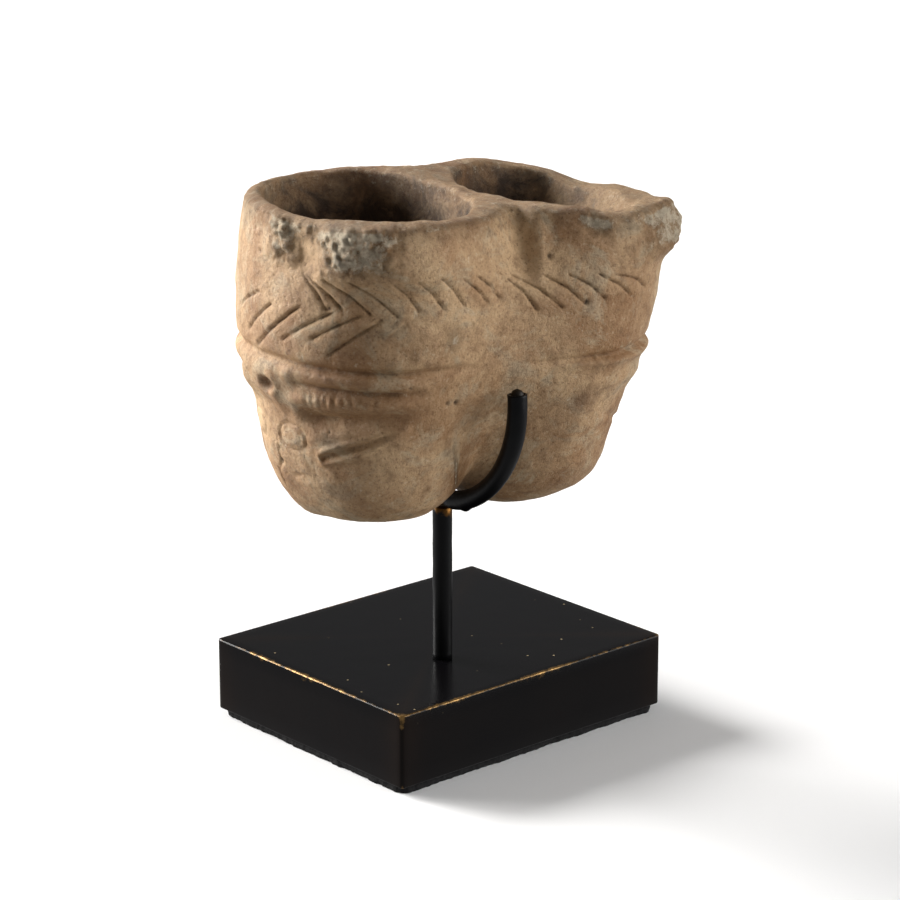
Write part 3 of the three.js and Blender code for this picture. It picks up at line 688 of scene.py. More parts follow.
def horned_head(t, q, strength):
    """Two flat horn bands between grooves and the hollow under them; t from the head's middle line."""
    along = ease(5, 9, t) * (1 - ease(24, 33, t))
    bands = 0.75 * hump(q, 9.2, 1.4) + 0.7 * hump(q, 5.2 + 0.05 * (t - 20), 1.2)
    grooves = 0.6 * hump(q, 10.9, 0.8) * ease(-2, 4, t) * (1 - ease(30, 42, t))
    under = 0.5 * hump(q, 1.6, 1.5) * ease(8, 12, t) * (1 - ease(20, 28, t))
    muzzle = 0.5 * hump(t, 0, 5) * (1 - ease(-6, 0, q)) + 0.5 * hump(t, 4.4, 1.3) * hump(q, 5.4, 2.6)
    return strength * (along * bands - grooves - under) + muzzle


def lug(s, q, place, half, height, rise, proud):
    """Worn lug: a flat-topped bump, the fourth power in both directions."""
    return proud * np.exp(-np.abs((s - place) / half) ** 4 - np.abs((q - height) / rise) ** 4)


# Strokes cut by hand, as the path place and height of both ends: the upper row falls to the right,
# the lower row rises to meet it along a spine just under 21 mm over the fan
UPPER_ROW = [(-35.2, 26.7, -31.1, 20.9), (-34.7, 26.8, -28.7, 21.2), (-31.3, 26.3, -24.9, 20.8),
             (-27.7, 26.4, -21.3, 20.5), (-21.9, 26.3, -18.5, 21.4), (-18.9, 26.8, -14.9, 21.3),
             (-15.9, 27.2, -11.1, 21.5), (-11.4, 26.3, -5.9, 21.1), (-8.0, 26.1, -3.4, 21.6),
             (-3.9, 26.1, -2.2, 24.3), (-1.5, 24.7, 3.7, 19.2), (-0.6, 25.2, 8.0, 19.4),
             (5.0, 24.8, 12.1, 19.7), (9.0, 24.9, 15.7, 20.3), (14.0, 25.0, 20.4, 19.9),
             (17.5, 24.5, 23.1, 21.1)]
LOWER_ROW = [(-51.3, 17.7, -44.9, 21.3), (-48.2, 14.4, -41.5, 20.0), (-45.2, 12.5, -35.5, 20.7),
             (-38.8, 14.7, -30.0, 20.6), (-33.3, 15.8, -26.1, 20.5), (-30.5, 13.7, -23.3, 19.9),
             (-22.3, 17.2, -18.7, 20.7), (-12.3, 15.5, -9.1, 18.3), (-2.5, 16.6, 0.1, 19.3)]
FAINT = {(-22.3, 17.2), (-12.3, 15.5), (-2.5, 16.6), (-3.9, 26.1)}


def behind(s):
    """The same place on the back of the jar."""
    return 2 * RIGHT_TIP - s


def cut_row(s, q, rows):
    """Deepest of a row of strokes, each bowed a little: a narrow deep cut in a wide shallow one, and
    deepest in its middle third."""
    total = np.zeros(np.broadcast(s, q).shape)
    for s0, q0, s1, q1 in rows:
        depth = 0.2 if (s0, q0) in FAINT else 0.44
        middle = ((s0 + s1) / 2 + 0.2, (q0 + q1) / 2 + 0.35)
        path = [(s0, q0, 0.8 * depth), (*middle, depth), (s1, q1, 0.9 * depth)]
        wide = [(a, b, 0.3 * c) for a, b, c in path]
        total = np.maximum(total, stroke(s, q, path, 0.32) + stroke(s, q, wide, 0.9, upper=1.6))
    return total


# Other lines of the carving, as path place, height and depth or pride at each of their points
UPPER_GROOVE = [(-58, 11.4, 0.15), (-45, 11.3, 0.25), (-38, 11.0, 0.35), (-35, 10.9, 0.6), (-20, 10.7, 0.6),
                (-13, 11.2, 0.3), (-5, 10.6, 0.0)]
HORN_GROOVE = [(-39, 7.4, 0.1), (-36, 7.5, 0.6), (-30, 7.5, 0.9), (-21, 7.4, 0.8), (-16.0, 7.5, 0.0)]
UNDER_HOLLOW = [(-38.5, 2.5, 0.0), (-36.0, 2.1, 1.1), (-34.0, 1.8, 1.8), (-31.4, 1.7, 2.0),
                (-27.0, 2.1, 1.7), (-23.3, 2.7, 1.1), (-20.0, 3.2, 0.5), (-17, 3.8, 0.0)]
NOSE_LINE = [(-44.6, -4.6, 0.1), (-44.8, -6.4, 0.35), (-44.3, -8.6, 0.4), (-46.1, -10.5, 0.3),
             (-45.7, -12.4, 0.4), (-45.8, -15.0, 0.1)]
MOUTH_LINE = [(-41.8, -10.8, 0.1), (-40, -10.4, 0.35), (-37.6, -10.0, 0.1)]
EAR_UPPER = [(-34.0, -5.0, 0.4), (-32.6, -3.8, 0.6), (-27.5, -1.5, 0.7), (-22.3, 0.3, 0.6),
             (-18.8, 1.0, 0.3)]
EAR_LOWER = [(-34.0, -5.2, 0.3), (-33.2, -6.6, 0.5), (-26.5, -3.9, 0.65), (-22.7, -1.5, 0.6),
             (-18.8, 0.8, 0.3)]
EAR_HOLLOW = [(-33.0, -5.4, 0.5), (-27.0, -2.7, 0.7), (-22.6, -0.6, 0.5), (-20.0, 0.5, 0.0)]
LEDGE = [(2, 10.3, 0.0), (7, 10.3, 0.5), (16, 10.4, 0.9), (26, 10.7, 1.1), (36, 10.8, 0.8), (60, 10.4, 0.4),
         (78, 10.8, 0.0)]
LEDGE_LIP = [(8, 9.2, 0.0), (18, 9.3, 0.65), (28, 9.5, 0.6), (38, 9.4, 0.0)]
HORN_BAND = [(-36.0, 5.3, 0.35), (-31, 5.1, 0.5), (-24, 5.4, 0.4), (-17, 6.0, 0.0)]
CHIP = [(9.5, 37, 0.8), (13.0, 33.2, 1.0), (16.5, 30.0, 0.0)]
CHANNEL = [(-39.0, 35.5, 0.6), (-36.6, 32.0, 1.1), (-35.4, 28.6, 0.6), (-33.0, 25.6, 0.0)]
SCRATCH = [(-8.2, -5.0, 0.1), (-6.4, -11.0, 0.25), (-3.7, -16.6, 0.1)]
RIBS = (-34.8, -33.7, -32.3, -31.3, -30.0, -28.5, -27.4, -25.8, -24.1)
EYES = (-40.2, -52.6, RIGHT_TIP - 6.2)
# Pits as path place, height and both half sizes
PITS = ((-12.5, 5.2, 0.5, 0.5), (-10.7, 5.0, 0.45, 0.5), (5.9, 28.1, 0.5, 0.6), (-31.6, -0.4, 0.3, 0.3),
        (-19.2, 8.6, 0.35, 0.3), (-45.3, 28.6, 0.4, 0.3), (-44.3, -8.4, 0.45, 0.5),
        (-46.2, -10.6, 0.4, 0.45), (-44.6, -6.1, 0.35, 0.4), (12.4, 20.0, 0.4, 0.6),
        (-30.6, 21.2, 0.35, 0.3), (14.5, -21.5, 0.5, 0.4))


def carving(s, q):
    """Height of the carving over the plain form, and how much dark colour lies in its cuts: earth, and
    painted shade for the shade inside them. Bands, lugs, muzzles and the ear's rims are bumps. Strokes,
    rings, ribs and pits are cut with a ragged depth; grooves, hollows and the drilled hole are worn smooth.
    Each cut has its share of that dark colour, and where cuts meet the deepest counts."""
    from_left, from_right = np.abs(s - LEFT_TIP), np.abs(s - RIGHT_TIP)
    height = horned_head(from_left, q, 1.0) + horned_head(from_right, q, 0.5)
    height += lug(s, q, -23, 10, 31, 5.6, 2.4) + lug(s, q, 33, 9, 30.5, 5.2, 2.4)
    height += lug(s, q, behind(-23), 9, 31, 5.0, 1.4) + lug(s, q, behind(33), 8, 29, 5.0, 1.4)
    height += lug(s, q, LEFT_TIP, 7, 6.6, 3.4, 0.9) + 1.6 * hump(s, 28, 11) * hump(q, -15, 6.5)
    height -= 0.7 * hump(s, -33.5, 2) * ease(25, 30, q)
    height -= 1.7 * np.exp(-((s - 2.4) / np.where(s < 2.4, 2.8, 1.1)) ** 2) * ease(22, 29, q)
    height += 0.5 * hump(s, 4.7, 1.2) * ease(22, 30, q)
    height += np.maximum(stroke(s, q, EAR_UPPER, 0.75), stroke(s, q, EAR_LOWER, 0.75))
    height += stroke(s, q, LEDGE_LIP, 1.3)
    height += 0.25 * spot(s, q, -38.5, -11.6, 2.2, 0.6)
    height += stroke(s, q, HORN_BAND, 1.9)
    hole = np.hypot((s + 43.6) / 2.4, (q - 6.1) / 1.5)
    ragged_cuts = [(cut_row(s, q, UPPER_ROW + LOWER_ROW), 0.55), (stroke(s, q, NOSE_LINE, 0.45), 0.7),
                   (stroke(s, q, MOUTH_LINE, 0.5), 0.4), (stroke(s, q, SCRATCH, 0.5), 0.0)]
    worn_cuts = [(stroke(s, q, UPPER_GROOVE, 0.75, upper=0.8), 0.4), (stroke(s, q, HORN_GROOVE, 0.8), 0.4),
                 (stroke(s, q, UNDER_HOLLOW, 2.3, upper=1.15), 0.08), (stroke(s, q, EAR_HOLLOW, 0.9), 0.3),
                 (stroke(s, q, LEDGE, 0.8, upper=1.6), 0.25), (1.4 * (1 - ease(0.3, 1.15, hole)), 0.0),
                 (stroke(s, q, CHIP, 2.2), 0.1), (stroke(s, q, CHANNEL, 2.4), 0.1)]
    for place in RIBS:
        rib = [(place - 0.1, 6.6, 0.1), (place, 5.2, 0.32), (place - 0.1, 3.7, 0.22)]
        ragged_cuts.append((stroke(s, q, rib, 0.55), 0.25))
    for place in np.arange(-36.0, 34.0, 10.0):
        rear = [(behind(place), 26.3, 0.2), (behind(place + 6), 20.8, 0.4)]
        ragged_cuts.append((stroke(s, q, rear, 0.7), 0.8))
    for eye in EYES:
        around = np.hypot((s - eye) / 3.6, (q + 2.9) / 2.6)
        ring = 0.32 * np.clip(1 - np.abs(around - 1.0) / 0.15, 0, 1)
        inner = 0.16 * np.clip(1 - np.abs(around - 0.66) / 0.12, 0, 1)
        ragged_cuts.append((ring + inner, 0.45))
        height += 0.16 * (1 - ease(0.6, 1.0, around))
    for tip in (LEFT_TIP, RIGHT_TIP):
        ear = [(tip - 14, -4.8, 0.5), (tip - 25, -0.4, 0.3)]
        ragged_cuts.append((stroke(s, q, ear, 1.0), 0.3))
    for pit in PITS:
        ragged_cuts.append((0.5 * spot(s, q, *pit), 1.1))
    ragged = value_noise(np.stack([s, q, 0 * s], axis=-1), 0.9, 46)
    cuts = np.max([cut for cut, _ in ragged_cuts], axis=0) * (1 + 0.45 * ragged)
    cuts = np.maximum(cuts, np.max([cut for cut, _ in worn_cuts], axis=0))
    # Each cut's share of dark colour: earth, and painted shade inside the cut
    earth_and_shade = np.max([cut * share for cut, share in ragged_cuts + worn_cuts], axis=0) / 0.5
    return height - cuts, np.clip(earth_and_shade * (1 + 0.5 * ragged), 0.0, 1.3)


# The grid of the outside: front and back share their stations along the straight, so that they meet
# below; rows are close over the carving and wider underneath
SEPTUM = 1.4
LEFT_COARSE = np.linspace(PATH_START, -54.0, 25)[:-1]
LEFT_FINE = np.linspace(-54.0, LEFT_END, 123)[:-1]
STRAIGHT_LEFT = np.linspace(LEFT_END, SEPTUM, 46)[:-1]
STRAIGHT_RIGHT = np.linspace(SEPTUM, RIGHT_END, 41)
RIGHT_FINE = np.linspace(RIGHT_END, 34.0, 51)[1:]
RIGHT_COARSE = np.linspace(34.0, RIGHT_STOP, 44)[1:-1]
straight = np.concatenate([STRAIGHT_LEFT, STRAIGHT_RIGHT])
back = RIGHT_STOP + RIGHT_END - straight[::-1]
stations = np.concatenate([LEFT_COARSE, LEFT_FINE, straight, RIGHT_FINE, RIGHT_COARSE, back[:-1]])
front_column = len(LEFT_COARSE) + len(LEFT_FINE) + len(STRAIGHT_LEFT)
back_column = len(stations) - len(STRAIGHT_LEFT)
TOP_ROW = RIM - FAN
rows = np.concatenate([np.linspace(TOP_ROW, 28.0, 17)[:-1], np.linspace(28.0, 14.0, 62)[:-1],
                       np.linspace(14.0, -14.0, 79)[:-1], np.linspace(-14.0, -FAN * np.pi / 2, 24)])

# LIP is how far the rim rounds down at its outer edge, over a reach of LIP_REACH. Above BAND_TOP the rows
# draw together or apart, so that the first one follows the broken rim.
LIP = 1.3
LIP_REACH = 1.9
BAND_TOP = 22.0
top_places, _ = on_jar(stations, np.full(len(stations), TOP_ROW))
rim_q = rim_height(top_places[:, 0], top_places[:, 1]) - FAN - LIP
row_grid = rows[:, None] + 0.0 * stations[None, :]
s_grid = stations[None, :] + 0.0 * rows[:, None]
rise = (rim_q[None, :] - BAND_TOP) * (row_grid - BAND_TOP) / (TOP_ROW - BAND_TOP)
q_grid = np.where(row_grid > BAND_TOP, BAND_TOP + rise, row_grid)
outside, ways = on_jar(s_grid, q_grid)
raised, earth_and_shade = carving(s_grid, row_grid)
fade_below = 1.0 - ease(20, 31, -q_grid)


def spots(places):
    """Sum of round spots on the outside's grid, each given as strength, path place, height, half sizes."""
    return sum(strength * spot(s_grid, row_grid, *place) for strength, *place in places)


# Wear in three sizes over the whole outside, then crust: thick and lumpy on three lugs, thin along the rim,
# with pale patches and a filled fissure lower down
wear = (0.14 * value_noise(outside, 3.1, 41) + 0.07 * value_noise(outside, 1.1, 42)
        + 0.22 * value_noise(outside, 9.0, 43))
lug_crust = (lug(s_grid, row_grid, -27.4, 6.2, 31.2, 4.2, 1.0) + lug(s_grid, row_grid, 31, 11, 31.5, 5.0, 1.0)
             + lug(s_grid, row_grid, -40.0, 3.5, 32.0, 4.0, 0.9) + spots([(0.7, 13, 34, 3, 3)]))
thick_crust = np.minimum(lug_crust, 1)
rim_crust = ease(32, 34.8, row_grid)
lumps = 0.7 * np.abs(value_noise(outside, 2.2, 44)) + np.abs(value_noise(outside, 0.95, 45)) - 0.45
wear += ((0.95 - 0.3 * ease(0, 20, s_grid)) * thick_crust + 0.3 * rim_crust) * lumps
outside = outside + ways * ((raised + wear) * fade_below)[..., None]
# Dark earth and painted shade in the hollows between the crust's lumps
earth_and_shade = earth_and_shade + 0.4 * thick_crust * np.clip(-0.1 - lumps, 0, 1)
PALE_PATCHES = [(0.8, -42.2, 5.2, 1.0, 1.8), (0.7, -38.2, 8.4, 0.9, 1.6), (0.95, -12.6, 16.4, 1.5, 2.6),
                (0.8, -24.0, 17.6, 2.4, 1.0)]
FISSURE = [(-8.6, -3.6, 0.6), (-6.6, -9.5, 1.0), (-4.9, -14.4, 0.8)]
fissure = stroke(s_grid, row_grid, FISSURE, 0.55)
crust = np.clip(lug_crust + 0.5 * rim_crust + spots(PALE_PATCHES) + 1.3 * fissure, 0, 1)

# The rim and the wells: from the outer edge, or from the line along the wall between both wells, straight
# in to the well's edge, rounded over both edges, then down the well to the middle of its floor
WELL_LIP = 0.9
WELL_LIP_REACH = 1.1
WELL_DOWN = np.array([0, 0.2, 0.5, 0.68, 0.84, 0.94, 0.985, 1.0])
WELL_SHARE = np.array([1.0, 0.945, 0.85, 0.77, 0.65, 0.48, 0.28, 0.0])
LEFT_WELL = {"x": -16.1, "y": 0.0, "a": 16.3, "b": 20.4, "foot": -14.6, "floor": 11.0, "worn": 0.0}
RIGHT_WELL = {"x": 18.6, "y": -0.5, "a": 14.7, "b": 19.4, "foot": 13.4, "floor": 12.0, "worn": 0.3}


def well_wall(well, angle, down):
    """Oval of the well at a share down its depth: both half axes shrink with WELL_SHARE, the middle moves
    from the mouth's to the floor's, and the height falls from the rim to the floor. A worn well slopes in
    from the rim at its right end."""
    depth_share = ease(0.0, 0.2, down) * (1 - ease(0.2, 0.55, down))
    slope = well["worn"] * np.clip(np.cos(angle), 0, 1) ** 2 * depth_share
    share = np.interp(down, WELL_DOWN, WELL_SHARE) * (1 - slope)
    x = well["x"] + (well["foot"] - well["x"]) * down + well["a"] * share * np.cos(angle)
    y = well["y"] * (1 - down) + well["b"] * share * np.sin(angle)
    return np.stack(np.broadcast_arrays(x, y, RIM + (well["floor"] - RIM) * down), axis=-1)


def nearest(points, line):
    """Distance in plan from each point to the nearest of the line's places."""
    gaps = points[..., None, :2] - line[:, :2]
    return np.sqrt((gaps ** 2).sum(axis=-1).min(axis=-1))


def rim_top(points):
    """Height of the broken rim at plan places: rim_height, rounded off at the outer edge by a quarter
    ellipse of LIP by LIP_REACH, and roughened."""
    plain = rim_height(points[..., 0], points[..., 1])
    edge = np.clip(1 - nearest(points, outside[0]) / LIP_REACH, 0.0, 1.0)
    drop = LIP * (1 - np.sqrt(1 - edge ** 2))
    flat = np.concatenate([points[..., :2], 0 * points[..., :1]], axis=-1)
    rough = (0.35 * value_noise(flat, 3.6, 51) + 0.14 * value_noise(flat, 1.3, 52)) * (1 - edge)
    return plain - drop + rough


SEPTUM_STEPS = 40
RING_SHARES = np.concatenate([[0, 0.03, 0.08, 0.15, 0.25, 0.36], np.linspace(0.48, 0.8, 4),
                              [0.88, 0.94, 0.98, 1.0]])
WALL_ROWS = 28
septum_t = np.linspace(0, 1, SEPTUM_STEPS + 1)[1:-1, None]
septum = outside[0, front_column] + (outside[0, back_column] - outside[0, front_column]) * septum_t
septum = np.concatenate([septum[:, :2], rim_top(septum)[:, None]], axis=1)
left_loop = np.concatenate([outside[0, back_column:], outside[0, :front_column + 1], septum])
right_loop = np.concatenate([outside[0, front_column:back_column + 1], septum[::-1]])


def rim_and_well(loop, well, seed):
    """Rows from the loop at the rim over the edge and down the well. Each column heads for the well's
    wall at its own angle about the well's middle."""
    angle = np.arctan2((loop[:, 1] - well["y"]) / well["b"], (loop[:, 0] - well["x"]) / well["a"])
    mouth = well_wall(well, angle, np.full(len(angle), 0.03))
    mouth_down = (RIM - rim_height(mouth[:, 0], mouth[:, 1]) + WELL_LIP) / (RIM - well["floor"])
    mouth = well_wall(well, angle, mouth_down)
    share = RING_SHARES[:, None, None]
    ring = loop + (mouth - loop) * share
    inner = np.clip(1 - np.linalg.norm((mouth - ring)[..., :2], axis=-1) / WELL_LIP_REACH, 0.0, 1.0)
    ring[1:-1, :, 2] = (rim_top(ring) - WELL_LIP * (1 - np.sqrt(1 - inner ** 2)))[1:-1]
    ring[-1] = mouth
    down = mouth_down + (1 - mouth_down) * np.linspace(0, 1, WALL_ROWS + 1)[1:, None] ** 0.9
    wall = well_wall(well, angle, down)
    rough = 0.25 * value_noise(wall, 4.0, seed) + 0.12 * value_noise(wall, 1.5, seed + 1)
    out = np.stack([np.cos(angle), np.sin(angle), 0 * angle], axis=-1)
    wall = wall + out * (rough * np.minimum(1, (1 - down) * 8))[..., None]
    return np.concatenate([ring, wall])


left_inside = rim_and_well(left_loop, LEFT_WELL, 61)
right_inside = rim_and_well(right_loop, RIGHT_WELL, 63)
points = [outside.reshape(-1, 3), left_inside.reshape(-1, 3), right_inside.reshape(-1, 3)]
starts = np.cumsum([0] + [len(part) for part in points])
faces = np.concatenate([
    grid_faces(*outside.shape[:2]),
    grid_faces(*left_inside.shape[:2], start=starts[1])[:, ::-1],
    grid_faces(*right_inside.shape[:2], start=starts[2])[:, ::-1],
])
jar_local = np.concatenate(points)


JAR_LEAN = np.radians(1.86)
SEAT_HEIGHT = 41.7


def set_in_cradle(local):
    """Jar's own frame in millimetres to metres: leaned about its Y, turned about Z, set on the cradle."""
    lean, turn = JAR_LEAN, JAR_TURN
    tilt = np.array([[np.cos(lean), 0, np.sin(lean)], [0, 1, 0], [-np.sin(lean), 0, np.cos(lean)]])
    spin = np.array([[np.cos(turn), -np.sin(turn), 0], [np.sin(turn), np.cos(turn), 0], [0, 0, 1]])
    return (local @ (spin @ tilt).T + np.array([*(post_middle * 1000), SEAT_HEIGHT])) / 1000.0


# Banded calcite, ground smooth and weathered: cream, tan and grey-cream clouds, fine crystal grain with
# paler flecks and brown specks, a low waxy gloss, dark earth and painted shade in the cuts, brown stains,
# brown wells darkened to near black by painted shade down their walls, and pale crust on the lugs and the
# rim, greyed in places
stone_material, tree, shader, place = start_material("weathered calcite")
CREAM = to_linear("#CFAD84")
TAN = to_linear("#9C754F")
GREY_CREAM = to_linear("#BCA585")
BROWN = to_linear("#6B4A2C")
# Earth in the cuts, made darker to stand for the shade inside them: earth and painted shade
EARTH_AND_SHADE = to_linear("#33220F")
CRUST = to_linear("#ECDDC2")
GREY_CRUST = to_linear("#716A5D")
FLECK = to_linear("#DCCBB0")
# The next two darken the wells' walls downwards: painted shade, the brown partly the wells' own colour
SHADE_DOWN_WELLS = to_linear("#150D07")
UMBER_AND_SHADE = to_linear("#443020")
clouds = add_node(tree, "ShaderNodeTexNoise", {"Vector": place, "Scale": 65.0, "Detail": 8.0,
                                               "Roughness": 0.62, "Distortion": 0.6})
cloud_range = add_node(tree, "ShaderNodeMapRange", {"Value": clouds.outputs["Fac"], "From Min": 0.36,
                                                    "From Max": 0.64})
body = add_node(tree, "ShaderNodeMix", {0: cloud_range.outputs[0], 6: TAN, 7: CREAM}, data_type="RGBA")
veil = add_node(tree, "ShaderNodeTexNoise", {"Vector": place, "Scale": 130.0, "Detail": 6.0,
                                             "Roughness": 0.7, "Distortion": 1.0})
veil_range = add_node(tree, "ShaderNodeMapRange", {"Value": veil.outputs["Fac"], "From Min": 0.5,
                                                   "From Max": 0.62, "To Max": 0.8})
veiled = add_node(tree, "ShaderNodeMix", {0: veil_range.outputs[0], 6: body.outputs[2], 7: GREY_CREAM},
                  data_type="RGBA")
mottle = add_node(tree, "ShaderNodeTexNoise", {"Vector": place, "Scale": 420.0, "Detail": 8.0,
                                               "Roughness": 0.75})
mottle_range = add_node(tree, "ShaderNodeMapRange", {"Value": mottle.outputs["Fac"], "From Min": 0.5,
                                                     "From Max": 0.7, "To Max": 0.65})
mottled = add_node(tree, "ShaderNodeMix", {0: mottle_range.outputs[0], 6: veiled.outputs[2], 7: BROWN},
                   data_type="RGBA")
stain = add_node(tree, "ShaderNodeAttribute", attribute_name="stain")
stain_raw = add_node(tree, "ShaderNodeMath", {0: stain.outputs["Fac"], 1: veil.outputs["Fac"]},
                     operation="MULTIPLY")
stain_edge = add_node(tree, "ShaderNodeMapRange", {"Value": stain_raw.outputs[0], "From Min": 0.12,
                                                   "From Max": 0.5, "To Max": 0.75})
stained = add_node(tree, "ShaderNodeMix", {0: stain_edge.outputs[0], 6: mottled.outputs[2], 7: BROWN},
                   data_type="RGBA")
# Crystal grain is about 0.1 mm; it is drawn at half a millimetre so that it shows
grain = add_node(tree, "ShaderNodeTexNoise", {"Vector": place, "Scale": 1800.0, "Detail": 5.0,
                                              "Roughness": 0.75})
fleck_range = add_node(tree, "ShaderNodeMapRange", {"Value": grain.outputs["Fac"], "From Min": 0.55,
                                                    "From Max": 0.66, "To Max": 0.7})
fleck_patch = add_node(tree, "ShaderNodeMapRange", {"Value": mottle.outputs["Fac"], "From Min": 0.52,
                                                    "From Max": 0.36})
fleck_mask = add_node(tree, "ShaderNodeMath", {0: fleck_range.outputs[0], 1: fleck_patch.outputs[0]},
                      operation="MULTIPLY")
flecked = add_node(tree, "ShaderNodeMix", {0: fleck_mask.outputs[0], 6: stained.outputs[2], 7: FLECK},
                   data_type="RGBA")
speck_range = add_node(tree, "ShaderNodeMapRange", {"Value": grain.outputs["Fac"], "From Min": 0.46,
                                                    "From Max": 0.34, "To Max": 0.65})
specked = add_node(tree, "ShaderNodeMix", {0: speck_range.outputs[0], 6: flecked.outputs[2], 7: BROWN},
                   data_type="RGBA")
# Painted shade down the wells: brown, then near black further down
inside = add_node(tree, "ShaderNodeAttribute", attribute_name="inside")
inside_raw = add_node(tree, "ShaderNodeMath", {0: inside.outputs["Fac"], 1: veil.outputs["Fac"]},
                      operation="ADD")
umber_and_shade_edge = add_node(tree, "ShaderNodeMapRange", {"Value": inside_raw.outputs[0], "From Min": 0.6,
                                                   "From Max": 0.95, "To Max": 0.92})
umber_and_shaded = add_node(tree, "ShaderNodeMix", {0: umber_and_shade_edge.outputs[0], 6: specked.outputs[2], 7: UMBER_AND_SHADE},
                   data_type="RGBA")
well_shade_edge = add_node(tree, "ShaderNodeMapRange", {"Value": inside_raw.outputs[0], "From Min": 0.9,
                                                  "From Max": 1.3, "To Max": 0.96})
well_shaded = add_node(tree, "ShaderNodeMix", {0: well_shade_edge.outputs[0], 6: umber_and_shaded.outputs[2], 7: SHADE_DOWN_WELLS},
                  data_type="RGBA")
crusted = add_node(tree, "ShaderNodeAttribute", attribute_name="crust")
flake = add_node(tree, "ShaderNodeTexNoise", {"Vector": place, "Scale": 700.0, "Detail": 8.0,
                                              "Roughness": 0.8})
crust_raw = add_node(tree, "ShaderNodeMath", {0: crusted.outputs["Fac"], 1: flake.outputs["Fac"]},
                     operation="MULTIPLY")
crust_edge = add_node(tree, "ShaderNodeMapRange", {"Value": crust_raw.outputs[0], "From Min": 0.4,
                                                   "From Max": 0.54, "To Max": 0.85})
crust_mix = add_node(tree, "ShaderNodeMix", {0: crust_edge.outputs[0], 6: well_shaded.outputs[2], 7: CRUST},
                     data_type="RGBA")
greying = add_node(tree, "ShaderNodeAttribute", attribute_name="greying")
grey_raw = add_node(tree, "ShaderNodeMath", {0: greying.outputs["Fac"], 1: flake.outputs["Fac"]},
                    operation="MULTIPLY")
grey_edge = add_node(tree, "ShaderNodeMapRange", {"Value": grey_raw.outputs[0], "From Min": 0.34,
                                                  "From Max": 0.58, "To Max": 0.85})
greyed = add_node(tree, "ShaderNodeMix", {0: grey_edge.outputs[0], 6: crust_mix.outputs[2],
                                          7: GREY_CRUST}, data_type="RGBA")
# Dark earth and painted shade in the cuts and in the crust's hollows
earth_and_shade_node = add_node(tree, "ShaderNodeAttribute", attribute_name="earth_and_shade")
earth_and_shade_raw = add_node(tree, "ShaderNodeMath", {0: earth_and_shade_node.outputs["Fac"], 1: mottle.outputs["Fac"]},
                     operation="MULTIPLY")
earth_and_shade_edge = add_node(tree, "ShaderNodeMapRange", {"Value": earth_and_shade_raw.outputs[0], "From Min": 0.12,
                                                   "From Max": 0.6, "To Max": 0.92})
stone_mix = add_node(tree, "ShaderNodeMix", {0: earth_and_shade_edge.outputs[0], 6: greyed.outputs[2], 7: EARTH_AND_SHADE},
                     data_type="RGBA")
tree.links.new(stone_mix.outputs[2], shader.inputs["Base Color"])
stone_rough = add_node(tree, "ShaderNodeMapRange", {"Value": crust_edge.outputs[0], "To Min": 0.52,
                                                    "To Max": 0.85})
tree.links.new(stone_rough.outputs[0], shader.inputs["Roughness"])
shader.inputs["Specular IOR Level"].default_value = 0.3
grain_bump = add_node(tree, "ShaderNodeBump", {"Height": grain.outputs["Fac"], "Strength": 0.6,
                                               "Distance": 0.0004})
mottle_bump = add_node(tree, "ShaderNodeBump", {"Height": mottle.outputs["Fac"], "Strength": 0.8,
                                                "Distance": 0.0008, "Normal": grain_bump.outputs["Normal"]})
flake_bump = add_node(tree, "ShaderNodeBump", {"Height": crust_raw.outputs[0], "Strength": 1.0,
                                               "Distance": 0.0013, "Normal": mottle_bump.outputs["Normal"]})
tree.links.new(flake_bump.outputs["Normal"], shader.inputs["Normal"])

jar_points = set_in_cradle(jar_local)
jar, kept = add_mesh("jar_stone", jar_points, faces, stone_material)


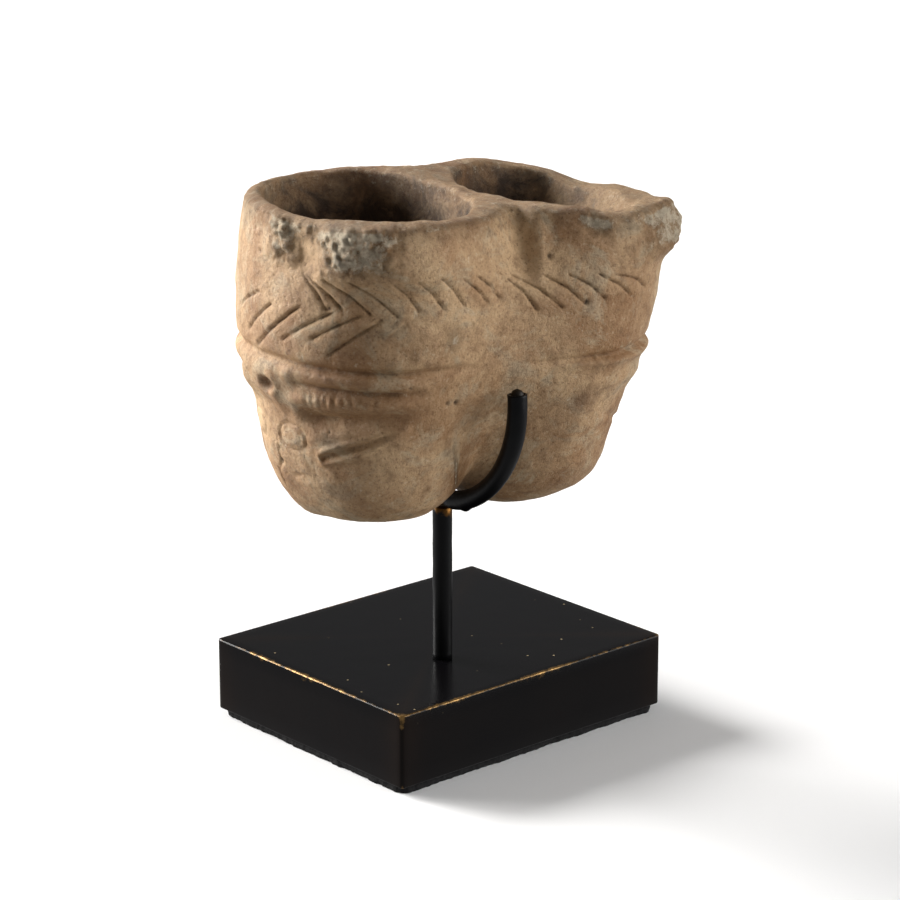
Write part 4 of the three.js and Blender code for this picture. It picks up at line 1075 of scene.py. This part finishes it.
def over_jar(outer, left, right):
    """One value for each grid place of the outside, the left and the right well, in the mesh's order."""
    parts = [np.broadcast_to(outer, outside.shape[:2]).ravel(),
             np.broadcast_to(left, left_inside.shape[:2]).ravel(),
             np.broadcast_to(right, right_inside.shape[:2]).ravel()]
    return np.concatenate(parts)[kept]


# Painted shade and brown grow from the wells' edges down, later at the ends that the light reaches; the rim's
# crust fades down the wells' walls. Stains and greyed crust have their own places outside.
ring_rows = len(RING_SHARES)
edge_rows = [0.1, 0.2, 0.3]
into_well = np.concatenate([np.zeros(ring_rows - len(edge_rows)), edge_rows,
                            np.linspace(0.32, 1.6, WALL_ROWS)])
into_well = np.minimum(into_well, 1.0)[:, None]
on_ring = np.concatenate([np.full(ring_rows, 0.74), np.linspace(0.65, 0.1, WALL_ROWS)])[:, None]
STAINS = [(0.9, 16.5, 3.0, 2.5, 2.5), (0.5, 13, -2, 4, 9), (0.6, -30, -1.5, 6, 2.5), (0.4, -8, 2, 6, 9),
          (1.0, -44.7, 6.2, 2.2, 1.6), (0.5, -29, -12, 6, 4), (0.5, -28, 15, 7, 4)]
INSIDE_STAIN = 0.45
GREYED = [(1.0, -29.0, 30.4, 2.0, 2.2), (0.7, -38.2, 8.2, 0.9, 1.4), (0.5, -24.5, 29.6, 2.0, 1.1)]
add_attribute(jar, "earth_and_shade", over_jar(earth_and_shade, 0.0, 0.0))
add_attribute(jar, "crust", over_jar(crust, on_ring, on_ring))
add_attribute(jar, "stain", over_jar(spots(STAINS), INSIDE_STAIN, INSIDE_STAIN))
left_angle = np.arctan2(left_loop[:, 1] - LEFT_WELL["y"], left_loop[:, 0] - LEFT_WELL["x"])
right_angle = np.arctan2(right_loop[:, 1] - RIGHT_WELL["y"], right_loop[:, 0] - RIGHT_WELL["x"])
# The ends of the wells that the lamps light keep less painted shade
pale_left = 0.8 * np.clip(-np.cos(left_angle), 0, 1) * (1 - ease(0.45, 0.8, into_well))
pale_right = 0.7 * np.clip(np.cos(right_angle + 0.25), 0, 1) * (1 - ease(0.5, 0.9, into_well))
add_attribute(jar, "inside", over_jar(0.0, into_well * (1 - pale_left), into_well * (1 - pale_right)))
add_attribute(jar, "greying", over_jar(spots(GREYED), 0.0, 0.0))
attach(jar, "root")
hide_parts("jar")
